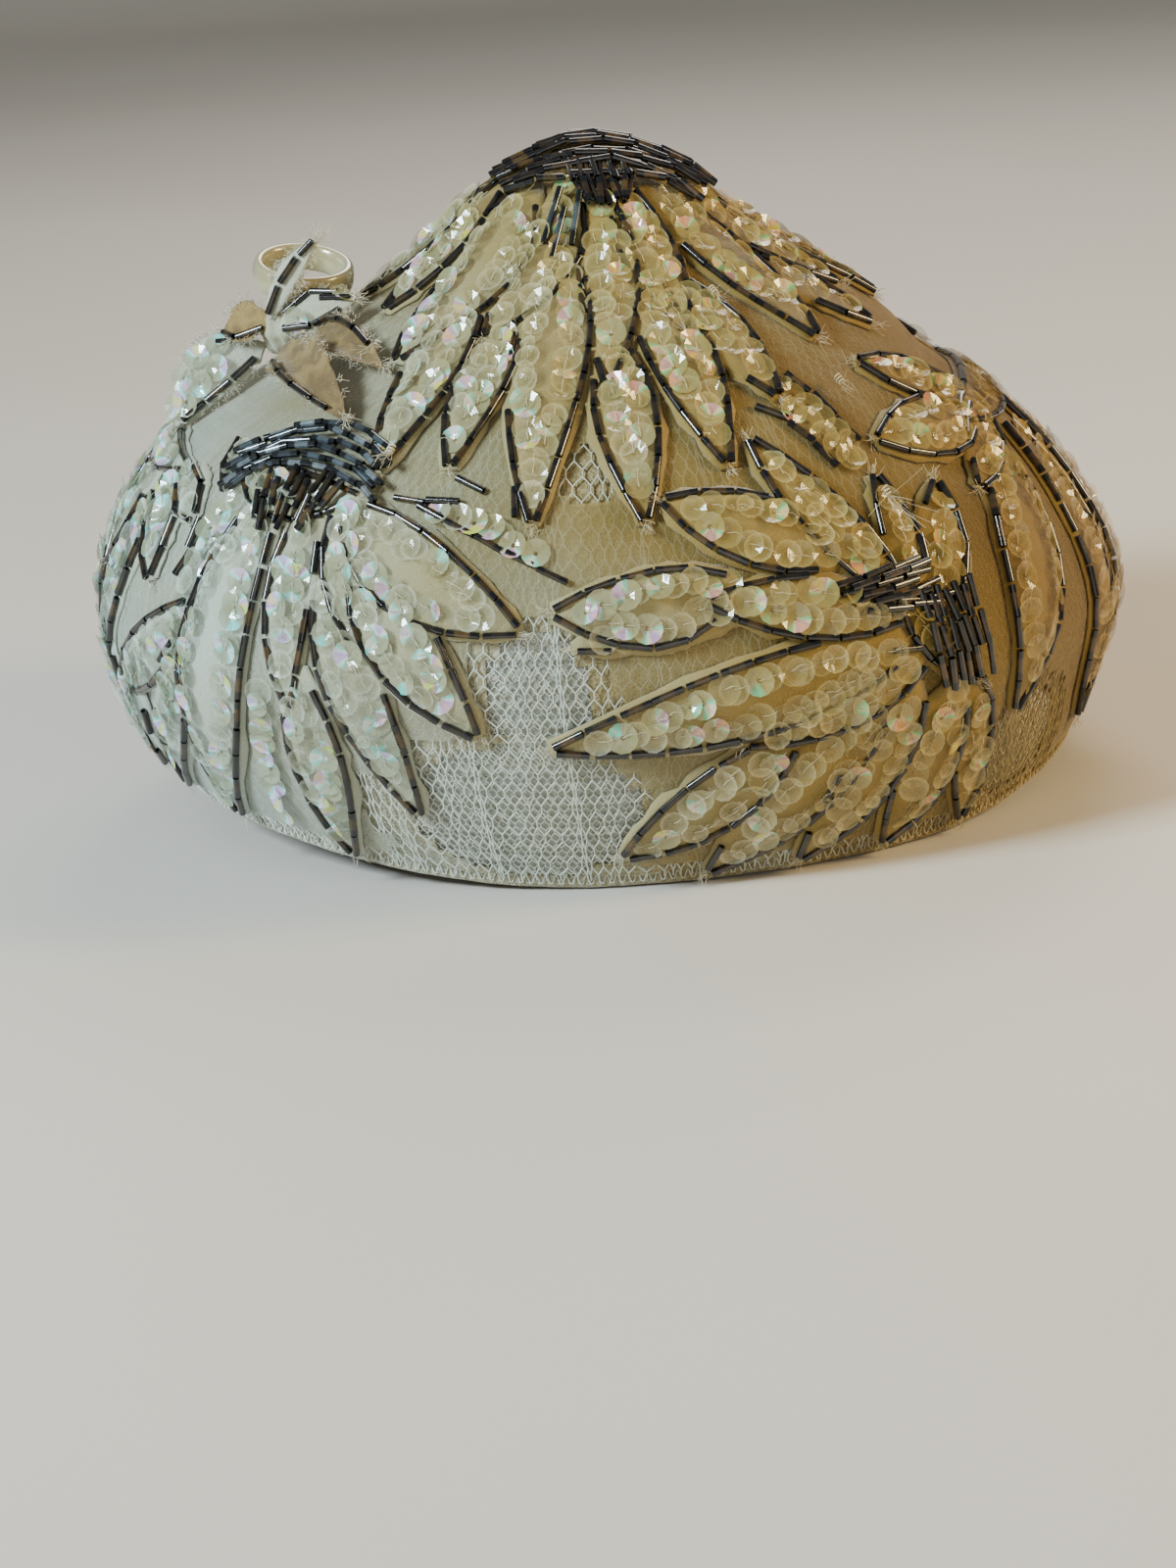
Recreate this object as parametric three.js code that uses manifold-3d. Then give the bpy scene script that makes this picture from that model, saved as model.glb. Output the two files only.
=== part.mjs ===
// A beaded net cap with a peaked crown, leaf appliques and a pearl ring ornament.
// Millimetres, Z up. The front of the cap looks along -X, its left side along -Y, and it stands on z = 0.
import * as THREE from "three";
import { mergeVertices } from "three/addons/utils/BufferGeometryUtils.js";
import Module from "manifold-3d";

const wasm = await Module();
wasm.setup();

// Crown sizes, on the outside of the net
const peakHeight = 138;
const bulgeHeight = 48;
const rimFront = 99;
const rimBack = 98;
const rimSide = 84;
const bulgeFront = 113;
const bulgeBack = 108;
const bulgeSide = 97;
const rimRiseFront = 8;
const rimRiseBack = 5;

// Walls and clearances
const netWall = 1.6;
const hemWall = 2;
const hemHeight = 3;
const hemProud = 0.2;
const seamGap = 0.3;
const seatGap = 1;
const leafEdge = 0.15;
const leafCrown = 1.6;
const padGap = 0.4;
const padThickness = 1.7;

// Ornament sizes
const ringRadius = 9.6;
const ringBandThickness = 2.8;
const ringBandHeight = 6;
const ringTiltDegrees = 13;
const ringTipDegrees = 9;
const knotWidth = 11;
const knotHeight = 10.5;
const petalThickness = 1.2;

// Net gaps, six-sided
const gapWidth = 4.4;
const gapHeight = 7;
const strandWidth = 2;

// The crown's level rows. Way runs from 0 at the rim to 1 at the peak.
// In the skirt, height is a share of bulgeHeight, and front, back and side go from the rim's reach
// at 0 to the bulge's reach at 1.
const skirtRows = [
  { way: 0.0, height: 0.0, front: 0.0, back: 0.0, side: 0.0 },
  { way: 0.08, height: 0.29, front: 0.57, back: 0.6, side: 0.52 },
  { way: 0.18, height: 0.67, front: 0.92, back: 1.0, side: 0.9 },
  { way: 0.27, height: 1.0, front: 1.0, back: 0.7, side: 1.0 },
];
// In the dome, height is a share of the rise from bulgeHeight to peakHeight, and front, back and
// side are shares of the bulge's reach.
const domeRows = [
  { way: 0.37, height: 0.19, front: 0.955, back: 0.885, side: 0.955 },
  { way: 0.47, height: 0.36, front: 0.855, back: 0.755, side: 0.85 },
  { way: 0.57, height: 0.505, front: 0.7, back: 0.63, side: 0.71 },
  { way: 0.67, height: 0.62, front: 0.54, back: 0.52, side: 0.565 },
  { way: 0.77, height: 0.72, front: 0.4, back: 0.39, side: 0.41 },
  { way: 0.87, height: 0.835, front: 0.28, back: 0.25, side: 0.27 },
  { way: 0.94, height: 0.93, front: 0.18, back: 0.155, side: 0.175 },
  { way: 1.0, height: 1.0, front: 0.0, back: 0.0, side: 0.0 },
];

// Dents and swells of the cloth, the same on both sides: where they are, how far they spread in
// degrees and in way, and how deep they are as a share of the bulge's side reach.
const foldRows = [
  { name: "hollow behind the brow", azimuth: 38, way: 0.61, spread: 26, waySpread: 0.06, depth: -0.04 },
  { name: "ridge of the brow", azimuth: 33, way: 0.51, spread: 30, waySpread: 0.055, depth: 0.025 },
  { name: "notch at the back", azimuth: 175, way: 0.545, spread: 22, waySpread: 0.045, depth: -0.02 },
  { name: "slack net at the back", azimuth: 146, way: 0.13, spread: 16, waySpread: 0.08, depth: -0.03 },
];

// Where the rim lifts off the surface it stands on, in degrees from the front
const frontRiseStart = 85;
const frontRiseSpan = 60;
const backRiseStart = 125;
const backRiseSpan = 45;
const riseFadeWay = 0.36;

// Leaves of each spray. Azimuth is in degrees, 0 at the front, 90 at the left side, 180 at the back.
// A leaf runs from its base to its tip; width is in millimetres, bend moves its middle sideways.
// side is both for a leaf that repeats on the right, or middle for one on the centre line.
const leafRows = {
  crown: [
    { from: [0, 0.95], to: [0, 0.72], width: 15, bend: 0, side: "middle" },
    { from: [24, 0.95], to: [27, 0.73], width: 12, bend: 0, side: "both" },
    { from: [48, 0.95], to: [46, 0.65], width: 18, bend: 3, side: "both" },
    { from: [57, 0.76], to: [59, 0.505], width: 14, bend: -2, side: "both" },
    { from: [75, 0.95], to: [64, 0.695], width: 15, bend: 1, side: "both" },
    { from: [68.5, 0.74], to: [68.5, 0.51], width: 12, bend: -1, side: "both" },
    { from: [78, 0.87], to: [80, 0.44], width: 16, bend: 0, side: "both" },
    { from: [92, 0.95], to: [89.5, 0.61], width: 12, bend: 1, side: "both" },
    { from: [91.5, 0.69], to: [93, 0.435], width: 12, bend: 0, side: "both" },
    { from: [108, 0.95], to: [107, 0.685], width: 12, bend: 0, side: "both" },
    { from: [101, 0.8], to: [106, 0.49], width: 14, bend: 1, side: "both" },
    { from: [111, 0.79], to: [119, 0.565], width: 12, bend: 0, side: "both" },
    { from: [129, 0.95], to: [136, 0.64], width: 15, bend: 2, side: "both" },
    { from: [150, 0.95], to: [165, 0.7], width: 13, bend: 1, side: "both" },
    { from: [145, 0.8], to: [156, 0.63], width: 11, bend: 0, side: "both" },
    { from: [180, 0.95], to: [180, 0.65], width: 14, bend: 0, side: "middle" },
  ],
  front: [
    { from: [37, 0.5], to: [58, 0.475], width: 11, bend: -3, side: "both" },
    { from: [56.5, 0.465], to: [79, 0.325], width: 16, bend: -2, side: "both" },
    { from: [60, 0.44], to: [74, 0.205], width: 15, bend: -2, side: "both" },
    { from: [56.5, 0.49], to: [61, 0.31], width: 11, bend: 0, side: "both" },
    { from: [56, 0.4], to: [66, 0.1], width: 13, bend: 0, side: "both" },
    { from: [51.5, 0.48], to: [52.5, 0.225], width: 11, bend: 0, side: "both" },
    { from: [54, 0.28], to: [54.5, 0.02], width: 13, bend: 1, side: "both" },
    { from: [45, 0.49], to: [36, 0.03], width: 19, bend: 1, side: "both" },
    { from: [39, 0.34], to: [16, 0.17], width: 12, bend: 1, side: "both" },
    { from: [37, 0.3], to: [23, 0.04], width: 11, bend: 1, side: "both" },
    { from: [22.5, 0.23], to: [15, 0.05], width: 11, bend: 0, side: "both" },
  ],
  side: [
    { from: [122, 0.32], to: [130, 0.2], width: 12, bend: 0, side: "both" },
    { from: [123, 0.3], to: [110.5, 0.52], width: 12, bend: 0, side: "both" },
    { from: [118, 0.37], to: [95.5, 0.46], width: 16, bend: 0, side: "both" },
    { from: [124, 0.3], to: [98.5, 0.345], width: 13, bend: 0, side: "both" },
    { from: [103, 0.36], to: [82, 0.345], width: 15, bend: 2, side: "both" },
    { from: [104, 0.332], to: [84, 0.305], width: 10, bend: -2, side: "both" },
    { from: [123, 0.27], to: [81, 0.19], width: 15, bend: 0, side: "both" },
    { from: [124, 0.25], to: [101, 0.18], width: 12, bend: 0, side: "both" },
    { from: [107, 0.18], to: [87.5, 0.05], width: 14, bend: 1, side: "both" },
    { from: [118, 0.22], to: [97, 0.02], width: 15, bend: 1, side: "both" },
    { from: [122, 0.22], to: [108, 0.02], width: 14, bend: 1, side: "both" },
    { from: [127, 0.21], to: [119, 0.02], width: 15, bend: 1, side: "both" },
    { from: [130, 0.21], to: [131, 0.02], width: 11, bend: 0, side: "both" },
    { from: [124, 0.3], to: [127, 0.45], width: 9, bend: 0, side: "both" },
    { from: [126, 0.29], to: [136, 0.425], width: 11, bend: 0, side: "both" },
  ],
  back: [
    { from: [152, 0.475], to: [208, 0.475], width: 12, bend: 0, side: "middle" },
    { from: [164, 0.485], to: [140, 0.59], width: 12, bend: 0, side: "both" },
    { from: [157, 0.475], to: [131, 0.487], width: 15, bend: 0, side: "both" },
    { from: [163, 0.48], to: [143, 0.4], width: 10, bend: 0, side: "both" },
    { from: [155, 0.46], to: [138, 0.135], width: 18, bend: -3, side: "both" },
    { from: [167, 0.47], to: [158, 0.06], width: 16, bend: 0, side: "both" },
    { from: [180, 0.47], to: [180, 0.06], width: 17, bend: 0, side: "middle" },
  ],
  brow: [
    { from: [-24, 0.48], to: [24, 0.48], width: 11, bend: 0, side: "middle" },
    { from: [24, 0.48], to: [32, 0.425], width: 9, bend: 0, side: "both" },
    { from: [21, 0.48], to: [27, 0.345], width: 12, bend: 0, side: "both" },
    { from: [12, 0.48], to: [8, 0.33], width: 13, bend: 0, side: "both" },
    { from: [20, 0.465], to: [10, 0.2], width: 12, bend: 1, side: "both" },
    { from: [12, 0.27], to: [8, 0.05], width: 12, bend: 0, side: "both" },
    { from: [0, 0.48], to: [0, 0.2], width: 14, bend: 0, side: "middle" },
  ],
};

// Pads of close bugle beads over the roots of the sprays
const padRows = [
  { name: "bead_pad_front", from: [39, 0.525], to: [58, 0.5], width: 12, bend: -4 },
  { name: "bead_pad_side", from: [122.5, 0.3], to: [130, 0.2], width: 12, bend: 0 },
];
const peakPadWay = 0.945;

// Patches of bare net: the azimuths and ways that the gaps keep within, on each side
const barePatches = [
  { azimuth: [68, 85], way: [0.035, 0.165] },
  { azimuth: [76.5, 82.5], way: [0.215, 0.29] },
  { azimuth: [137, 148], way: [0.035, 0.1] },
];

// Petals of the ornament: where each starts and ends, as azimuth, way and lift off the net in
// millimetres; arch lifts its middle, and twist turns its face about its length, in degrees.
const petalRows = [
  { name: "petal_drooping", from: [7, 0.612, 5.8], to: [5, 0.5, 2.4], width: 15, arch: 5, twist: 45 },
  { name: "petal_resting", from: [13, 0.632, 8.7], to: [22, 0.715, 6], width: 10, arch: 1.5, twist: -35 },
  { name: "petal_upright", from: [10.5, 0.63, 10.9], to: [15.5, 0.725, 19.6], width: 6, arch: 1.5, twist: -50 },
  { name: "petal_hanging", from: [13.4, 0.625, 5], to: [49, 0.555, 3.5], width: 11, arch: 3, twist: 0 },
  { name: "petal_side", from: [12.6, 0.659, 5], to: [46, 0.63, 3.5], width: 9, arch: 2, twist: 0 },
];
const knotPlace = { azimuth: 8, way: 0.64 };
const ringPlace = { azimuth: 2.5, way: 0.69, lift: 12.7 };

// Colours
const colours = {
  net: 0xd8cdb0,
  hem: 0xcdbf9c,
  organza: 0xc6bb92,
  beads: 0x4a443c,
  pearl: 0xe9e0c4,
};

const degrees = Math.PI / 180;

// Smooth curve through one column of the crown's sections
const sections = [
  ...skirtRows.map((row) => ({
    way: row.way,
    z: row.height * bulgeHeight,
    front: rimFront + (bulgeFront - rimFront) * row.front,
    back: rimBack + (bulgeBack - rimBack) * row.back,
    side: rimSide + (bulgeSide - rimSide) * row.side,
  })),
  ...domeRows.map((row) => ({
    way: row.way,
    z: bulgeHeight + (peakHeight - bulgeHeight) * row.height,
    front: bulgeFront * row.front,
    back: bulgeBack * row.back,
    side: bulgeSide * row.side,
  })),
];

function slopeAt(column, i) {
  const last = sections.length - 1;
  if (i === last && column === "z") return 0;
  const low = Math.max(0, i - 1);
  const high = Math.min(last, i + 1);
  return (sections[high][column] - sections[low][column]) / (sections[high].way - sections[low].way);
}

function sectionValue(column, way) {
  const held = Math.min(1, Math.max(0, way));
  let i = 0;
  while (i < sections.length - 2 && held >= sections[i + 1].way) i += 1;
  const span = sections[i + 1].way - sections[i].way;
  const t = (held - sections[i].way) / span;
  const t2 = t * t;
  const t3 = t2 * t;
  return (
    (2 * t3 - 3 * t2 + 1) * sections[i][column] +
    (t3 - 2 * t2 + t) * span * slopeAt(column, i) +
    (3 * t2 - 2 * t3) * sections[i + 1][column] +
    (t3 - t2) * span * slopeAt(column, i + 1)
  );
}

function ease(t) {
  const held = Math.min(1, Math.max(0, t));
  return held * held * (3 - 2 * held);
}

// Degrees from the front, the same on both sides
function fromFront(azimuth) {
  const turned = ((azimuth % 360) + 360) % 360;
  return turned > 180 ? 360 - turned : turned;
}

function rimRise(azimuth) {
  const angle = fromFront(azimuth);
  return (
    rimRiseFront * ease((frontRiseStart - angle) / frontRiseSpan) +
    rimRiseBack * ease((angle - backRiseStart) / backRiseSpan)
  );
}

// A point on the outside of the net
function netPoint(azimuth, way) {
  const c = -Math.cos(azimuth * degrees);
  const s = -Math.sin(azimuth * degrees);
  const x = c * sectionValue(c < 0 ? "front" : "back", way);
  const y = s * sectionValue("side", way);
  const reach = Math.hypot(x, y);
  const angle = fromFront(azimuth);
  let fold = 0;
  for (const row of foldRows) {
    const a = (angle - row.azimuth) / row.spread;
    const b = (way - row.way) / row.waySpread;
    fold += row.depth * bulgeSide * Math.exp(-a * a - b * b);
  }
  const grow = reach > 1 ? (reach + fold) / reach : 1;
  const z = sectionValue("z", way) + rimRise(azimuth) * ease(1 - way / riseFadeWay);
  return new THREE.Vector3(x * grow, y * grow, z);
}

// The two tangents and the outward normal there
function netFrame(azimuth, way) {
  const stepA = 0.05;
  const stepW = 0.0005;
  const w = Math.min(way, 1 - 2 * stepW);
  const round = netPoint(azimuth + stepA, w).sub(netPoint(azimuth - stepA, w)).divideScalar(2 * stepA);
  const up = netPoint(azimuth, w + stepW).sub(netPoint(azimuth, w - stepW)).divideScalar(2 * stepW);
  const normal = new THREE.Vector3().crossVectors(round, up).normalize();
  return { round, up, normal };
}

function liftedPoint(azimuth, way, lift) {
  if (way > 0.999) return new THREE.Vector3(0, 0, peakHeight + lift);
  const { normal } = netFrame(azimuth, way);
  return netPoint(azimuth, way).addScaledVector(normal, lift);
}

// Triangles from rings of points, closed at both ends by flat fans
function loftRings(rings, closedPath) {
  const count = rings[0].length;
  const positions = [];
  const index = [];
  for (const ring of rings) {
    for (const p of ring) positions.push(p.x, p.y, p.z);
  }
  const bands = closedPath ? rings.length : rings.length - 1;
  for (let i = 0; i < bands; i += 1) {
    const a = i * count;
    const b = ((i + 1) % rings.length) * count;
    for (let j = 0; j < count; j += 1) {
      const k = (j + 1) % count;
      index.push(a + j, a + k, b + j);
      index.push(a + k, b + k, b + j);
    }
  }
  if (!closedPath) {
    const last = (rings.length - 1) * count;
    for (let j = 1; j < count - 1; j += 1) {
      index.push(0, j + 1, j);
      index.push(last, last + j, last + j + 1);
    }
  }
  const geometry = new THREE.BufferGeometry();
  geometry.setAttribute("position", new THREE.Float32BufferAttribute(positions, 3));
  geometry.setIndex(index);
  return geometry;
}

function toSolid(geometry) {
  const bare = geometry.clone();
  bare.deleteAttribute("normal");
  bare.deleteAttribute("uv");
  const merged = mergeVertices(bare, 1e-4);
  const solid = new wasm.Manifold(
    new wasm.Mesh({
      numProp: 3,
      vertProperties: new Float32Array(merged.attributes.position.array),
      triVerts: new Uint32Array(merged.index.array),
    }),
  );
  return solid;
}

function toGeometry(solid) {
  const mesh = solid.getMesh();
  const geometry = new THREE.BufferGeometry();
  geometry.setAttribute("position", new THREE.BufferAttribute(new Float32Array(mesh.vertProperties), 3));
  geometry.setIndex(new THREE.BufferAttribute(new Uint32Array(mesh.triVerts), 1));
  geometry.computeVertexNormals();
  return geometry;
}

function addMesh(group, name, geometry, colour, roughness) {
  const material = new THREE.MeshStandardMaterial({ color: colour, roughness, metalness: 0 });
  geometry.computeVertexNormals();
  const mesh = new THREE.Mesh(geometry, material);
  mesh.name = name;
  group.add(mesh);
}

// The hollow crown of net
const crownColumns = 30;
const crownWays = [0.08, 0.16, 0.24, 0.33, 0.42, 0.5, 0.58, 0.66, 0.75, 0.83, 0.89, 0.94, 0.975];

function wayAtHeight(height) {
  let low = 0;
  let high = skirtRows[skirtRows.length - 1].way;
  for (let i = 0; i < 30; i += 1) {
    const middle = (low + high) / 2;
    if (sectionValue("z", middle) < height) low = middle;
    else high = middle;
  }
  return low;
}

function crownSolid() {
  const ways = [wayAtHeight(hemHeight + seamGap), ...crownWays];
  const crownRows = ways.length - 1;
  const positions = [];
  const index = [];
  for (const lift of [0, -netWall]) {
    for (const way of ways) {
      for (let j = 0; j < crownColumns; j += 1) {
        const p = liftedPoint((360 * j) / crownColumns, way, lift);
        positions.push(p.x, p.y, p.z);
      }
    }
    positions.push(0, 0, peakHeight + lift);
  }
  const shell = (crownRows + 1) * crownColumns + 1;
  for (const [offset, turned] of [[0, false], [shell, true]]) {
    const push = (a, b, c) => (turned ? index.push(a, c, b) : index.push(a, b, c));
    for (let i = 0; i < crownRows; i += 1) {
      for (let j = 0; j < crownColumns; j += 1) {
        const k = (j + 1) % crownColumns;
        const a = offset + i * crownColumns;
        const b = a + crownColumns;
        push(a + j, a + k, b + j);
        push(a + k, b + k, b + j);
      }
    }
    const top = offset + crownRows * crownColumns;
    for (let j = 0; j < crownColumns; j += 1) {
      push(top + j, top + ((j + 1) % crownColumns), offset + shell - 1);
    }
  }
  for (let j = 0; j < crownColumns; j += 1) {
    const k = (j + 1) % crownColumns;
    index.push(k, j, shell + j);
    index.push(k, shell + j, shell + k);
  }
  const geometry = new THREE.BufferGeometry();
  geometry.setAttribute("position", new THREE.Float32BufferAttribute(positions, 3));
  geometry.setIndex(index);
  return toSolid(geometry);
}

// One six-sided gap, cut square through the net
function gapSolid(azimuth, way) {
  const { round, normal } = netFrame(azimuth, way);
  const across = round.clone().normalize();
  const along = new THREE.Vector3().crossVectors(normal, across).normalize();
  const centre = netPoint(azimuth, way);
  const corner = [];
  for (let i = 0; i < 6; i += 1) {
    const angle = 60 * i * degrees;
    corner.push([(-Math.sin(angle) * gapWidth) / Math.sqrt(3), (Math.cos(angle) * gapHeight) / 2]);
  }
  const rings = [];
  for (const lift of [-2 * netWall, netWall]) {
    rings.push(
      corner.map(([a, b]) =>
        centre
          .clone()
          .addScaledVector(across, a)
          .addScaledVector(along, b)
          .addScaledVector(normal, lift),
      ),
    );
  }
  return toSolid(loftRings(rings, false));
}

function gapPlaces(patch) {
  const places = [];
  const { round, up } = netFrame(
    (patch.azimuth[0] + patch.azimuth[1]) / 2,
    (patch.way[0] + patch.way[1]) / 2,
  );
  const azimuthPitch = (gapWidth + strandWidth) / round.length();
  const wayPitch = (gapHeight * 0.75 + strandWidth) / up.length();
  const rows = Math.floor((patch.way[1] - patch.way[0]) / wayPitch) + 1;
  const columns = Math.floor((patch.azimuth[1] - patch.azimuth[0]) / azimuthPitch) + 1;
  for (let i = 0; i < rows; i += 1) {
    const odd = i % 2;
    for (let j = 0; j < columns - odd; j += 1) {
      places.push([
        patch.azimuth[0] + azimuthPitch * (j + odd / 2),
        patch.way[0] + wayPitch * i,
      ]);
    }
  }
  return places;
}

function netCrown() {
  const gaps = [];
  for (const patch of barePatches) {
    for (const [azimuth, way] of gapPlaces(patch)) {
      gaps.push(gapSolid(azimuth, way), gapSolid(360 - azimuth, way));
    }
  }
  return crownSolid().subtract(wasm.Manifold.union(gaps));
}

// The hem: a ring of even section that follows the rim
const hemSteps = 48;

function hemGeometry() {
  const inner = hemProud - hemWall;
  const rings = [];
  for (let i = 0; i < hemSteps; i += 1) {
    const azimuth = (360 * i) / hemSteps;
    const base = netPoint(azimuth, 0);
    const outward = netFrame(azimuth, 0.01).normal.setZ(0).normalize();
    const rise = rimRise(azimuth);
    rings.push(
      [
        [hemProud, 0],
        [inner, 0],
        [inner, hemHeight],
        [hemProud, hemHeight],
      ].map(([out, height]) => base.clone().addScaledVector(outward, out).setZ(rise + height)),
    );
  }
  return loftRings(rings, true);
}

// A leaf or pad that lies on the net: a pointed strip, higher along its middle
function leafHalfWidth(share, width) {
  const least = 0.5;
  return Math.max(least, (width / 2) * Math.pow(Math.sin(Math.PI * Math.pow(share, 0.9)), 0.75));
}

function padHalfWidth(share, width) {
  return (width / 2) * (0.55 + 0.45 * Math.sin(Math.PI * share));
}

const leastSteps = 3;

function stripSolid(row, lift, edge, crown, halfWidth, stepLength, keeled) {
  const turn = row.to[0] - row.from[0];
  const climb = row.to[1] - row.from[1];
  const middle = netFrame(row.from[0] + turn / 2, row.from[1] + climb / 2);
  const length = Math.hypot(turn * middle.round.length(), climb * middle.up.length());
  const steps = Math.max(leastSteps, Math.round(length / stepLength));
  const rings = [];
  for (let i = 0; i <= steps; i += 1) {
    const share = i / steps;
    const azimuth = row.from[0] + turn * share;
    const way = row.from[1] + climb * share;
    const { round, up, normal } = netFrame(azimuth, way);
    const along = round.clone().multiplyScalar(turn).addScaledVector(up, climb).normalize();
    const across = new THREE.Vector3().crossVectors(normal, along).normalize();
    const place = (offset, height) => {
      const side = offset + row.bend * Math.sin(Math.PI * share);
      const da = (across.dot(round) * side) / round.lengthSq();
      const dw = (across.dot(up) * side) / up.lengthSq();
      return liftedPoint(azimuth + da, way + dw, height);
    };
    const half = halfWidth(share, row.width);
    const keel = keeled ? [place(0, lift)] : [];
    rings.push([place(-half, lift + edge), ...keel, place(half, lift + edge), place(0, lift + crown)]);
  }
  return toSolid(loftRings(rings, false));
}

function mirroredRow(row) {
  return {
    ...row,
    from: [360 - row.from[0], row.from[1]],
    to: [360 - row.to[0], row.to[1]],
    bend: -row.bend,
  };
}

const leafStep = 14;

function leafSolids(rows, right, keeled) {
  return rows.map((row) => {
    const placed = right ? mirroredRow(row) : row;
    return stripSolid(placed, seatGap, leafEdge, leafCrown, leafHalfWidth, leafStep, keeled);
  });
}

// A round patch over the peak
const patchColumns = 20;

function peakPatch(edgeWay, low, high) {
  const positions = [];
  const index = [];
  const ways = [edgeWay, (1 + edgeWay) / 2];
  for (const lift of [high, low]) {
    for (const way of ways) {
      for (let j = 0; j < patchColumns; j += 1) {
        const p = liftedPoint((360 * j) / patchColumns, way, lift);
        positions.push(p.x, p.y, p.z);
      }
    }
    positions.push(0, 0, peakHeight + lift);
  }
  const layer = ways.length * patchColumns + 1;
  for (let j = 0; j < patchColumns; j += 1) {
    const k = (j + 1) % patchColumns;
    const n = patchColumns;
    index.push(j, k, n + j, k, n + k, n + j);
    index.push(n + j, n + k, layer - 1);
    index.push(layer + k, layer + j, layer + n + j, layer + k, layer + n + j, layer + n + k);
    index.push(layer + n + k, layer + n + j, 2 * layer - 1);
    index.push(k, j, layer + j, k, layer + j, layer + k);
  }
  const geometry = new THREE.BufferGeometry();
  geometry.setAttribute("position", new THREE.Float32BufferAttribute(positions, 3));
  geometry.setIndex(index);
  return toSolid(geometry);
}

// A petal of the ornament: it stands off the net and bends over
const petalSteps = 4;

function petalGeometry(row) {
  const start = liftedPoint(...row.from);
  const end = liftedPoint(...row.to);
  const normal = netFrame(row.from[0], row.from[1]).normal;
  const along = end.clone().sub(start).normalize();
  const level = new THREE.Vector3().crossVectors(normal, along).normalize();
  const raised = new THREE.Vector3().crossVectors(along, level).normalize();
  const across = level.clone().applyAxisAngle(along, -row.twist * degrees);
  const out = raised.clone().applyAxisAngle(along, -row.twist * degrees);
  const rings = [];
  for (let i = 0; i <= petalSteps; i += 1) {
    const share = i / petalSteps;
    const centre = start.clone().lerp(end, share);
    centre.addScaledVector(raised, row.arch * Math.sin(Math.PI * share));
    const half = leafHalfWidth(share, row.width);
    const place = (offset, height) =>
      centre.clone().addScaledVector(across, offset).addScaledVector(out, height);
    rings.push([
      place(-half, 0),
      place(0, -petalThickness / 2),
      place(half, 0),
      place(0, petalThickness / 2),
    ]);
  }
  return loftRings(rings, false);
}

function addSprays(group) {
  const root = peakPatch(peakPadWay, seatGap, seatGap + leafEdge);
  const joined = (name, solids) => {
    addMesh(group, name, toGeometry(wasm.Manifold.union(solids)), colours.organza, 0.7);
  };
  const both = (rows) => rows.filter((row) => row.side === "both");
  const { crown, front, side, back, brow } = leafRows;
  joined("spray_crown", [root, ...leafSolids(crown, false, true), ...leafSolids(both(crown), true, true)]);
  joined("spray_back", [...leafSolids(back, false, false), ...leafSolids(both(back), true, false)]);
  joined("spray_brow", [...leafSolids(brow, false, false), ...leafSolids(both(brow), true, false)]);
  joined("spray_front_left", leafSolids(front, false, false));
  joined("spray_front_right", leafSolids(front, true, false));
  joined("spray_side_left", leafSolids(side, false, false));
  joined("spray_side_right", leafSolids(side, true, false));
}

const padStep = 7;

function addPads(group) {
  const low = seatGap + leafCrown + padGap;
  const peak = peakPatch(peakPadWay, low, low + padThickness);
  addMesh(group, "bead_pad_peak", toGeometry(peak), colours.beads, 0.35);
  for (const row of padRows) {
    for (const [side, placed] of [["left", row], ["right", mirroredRow(row)]]) {
      const pad = stripSolid(placed, low, padThickness / 2, padThickness, padHalfWidth, padStep, true);
      addMesh(group, `${row.name}_${side}`, toGeometry(pad), colours.beads, 0.35);
    }
  }
}

function addOrnament(group) {
  const knot = new THREE.SphereGeometry(0.5, 10, 7);
  knot.scale(knotWidth, knotWidth, knotHeight);
  const { normal } = netFrame(knotPlace.azimuth, knotPlace.way);
  const lift = seamGap + knotHeight / 2;
  const centre = liftedPoint(knotPlace.azimuth, knotPlace.way, lift);
  knot.applyQuaternion(new THREE.Quaternion().setFromUnitVectors(new THREE.Vector3(0, 0, 1), normal));
  knot.translate(centre.x, centre.y, centre.z);
  addMesh(group, "ornament_knot", toGeometry(toSolid(knot)), colours.organza, 0.7);

  const ring = new THREE.TorusGeometry(ringRadius, ringBandThickness / 2, 6, 22);
  ring.scale(1, 1, ringBandHeight / ringBandThickness);
  ring.rotateX(ringTiltDegrees * degrees);
  ring.rotateY(ringTipDegrees * degrees);
  const ringCentre = liftedPoint(ringPlace.azimuth, ringPlace.way, ringPlace.lift);
  ring.translate(ringCentre.x, ringCentre.y, ringCentre.z);
  addMesh(group, "pearl_ring", toGeometry(toSolid(ring)), colours.pearl, 0.2);

  for (const row of petalRows) {
    addMesh(group, row.name, petalGeometry(row), colours.organza, 0.7);
  }
}

const hat = new THREE.Group();
addMesh(hat, "net_crown", toGeometry(netCrown()), colours.net, 0.8);
addMesh(hat, "net_hem", hemGeometry(), colours.hem, 0.8);
addSprays(hat);
addPads(hat);
addOrnament(hat);

// The origin is the middle of the box that holds the hat, at the height it stands on
const box = new THREE.Box3().setFromObject(hat);
hat.position.set(-(box.min.x + box.max.x) / 2, -(box.min.y + box.max.y) / 2, -box.min.z);

export default hat;
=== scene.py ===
import math

import bpy
import numpy as np
from mathutils import Matrix, Vector


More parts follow.
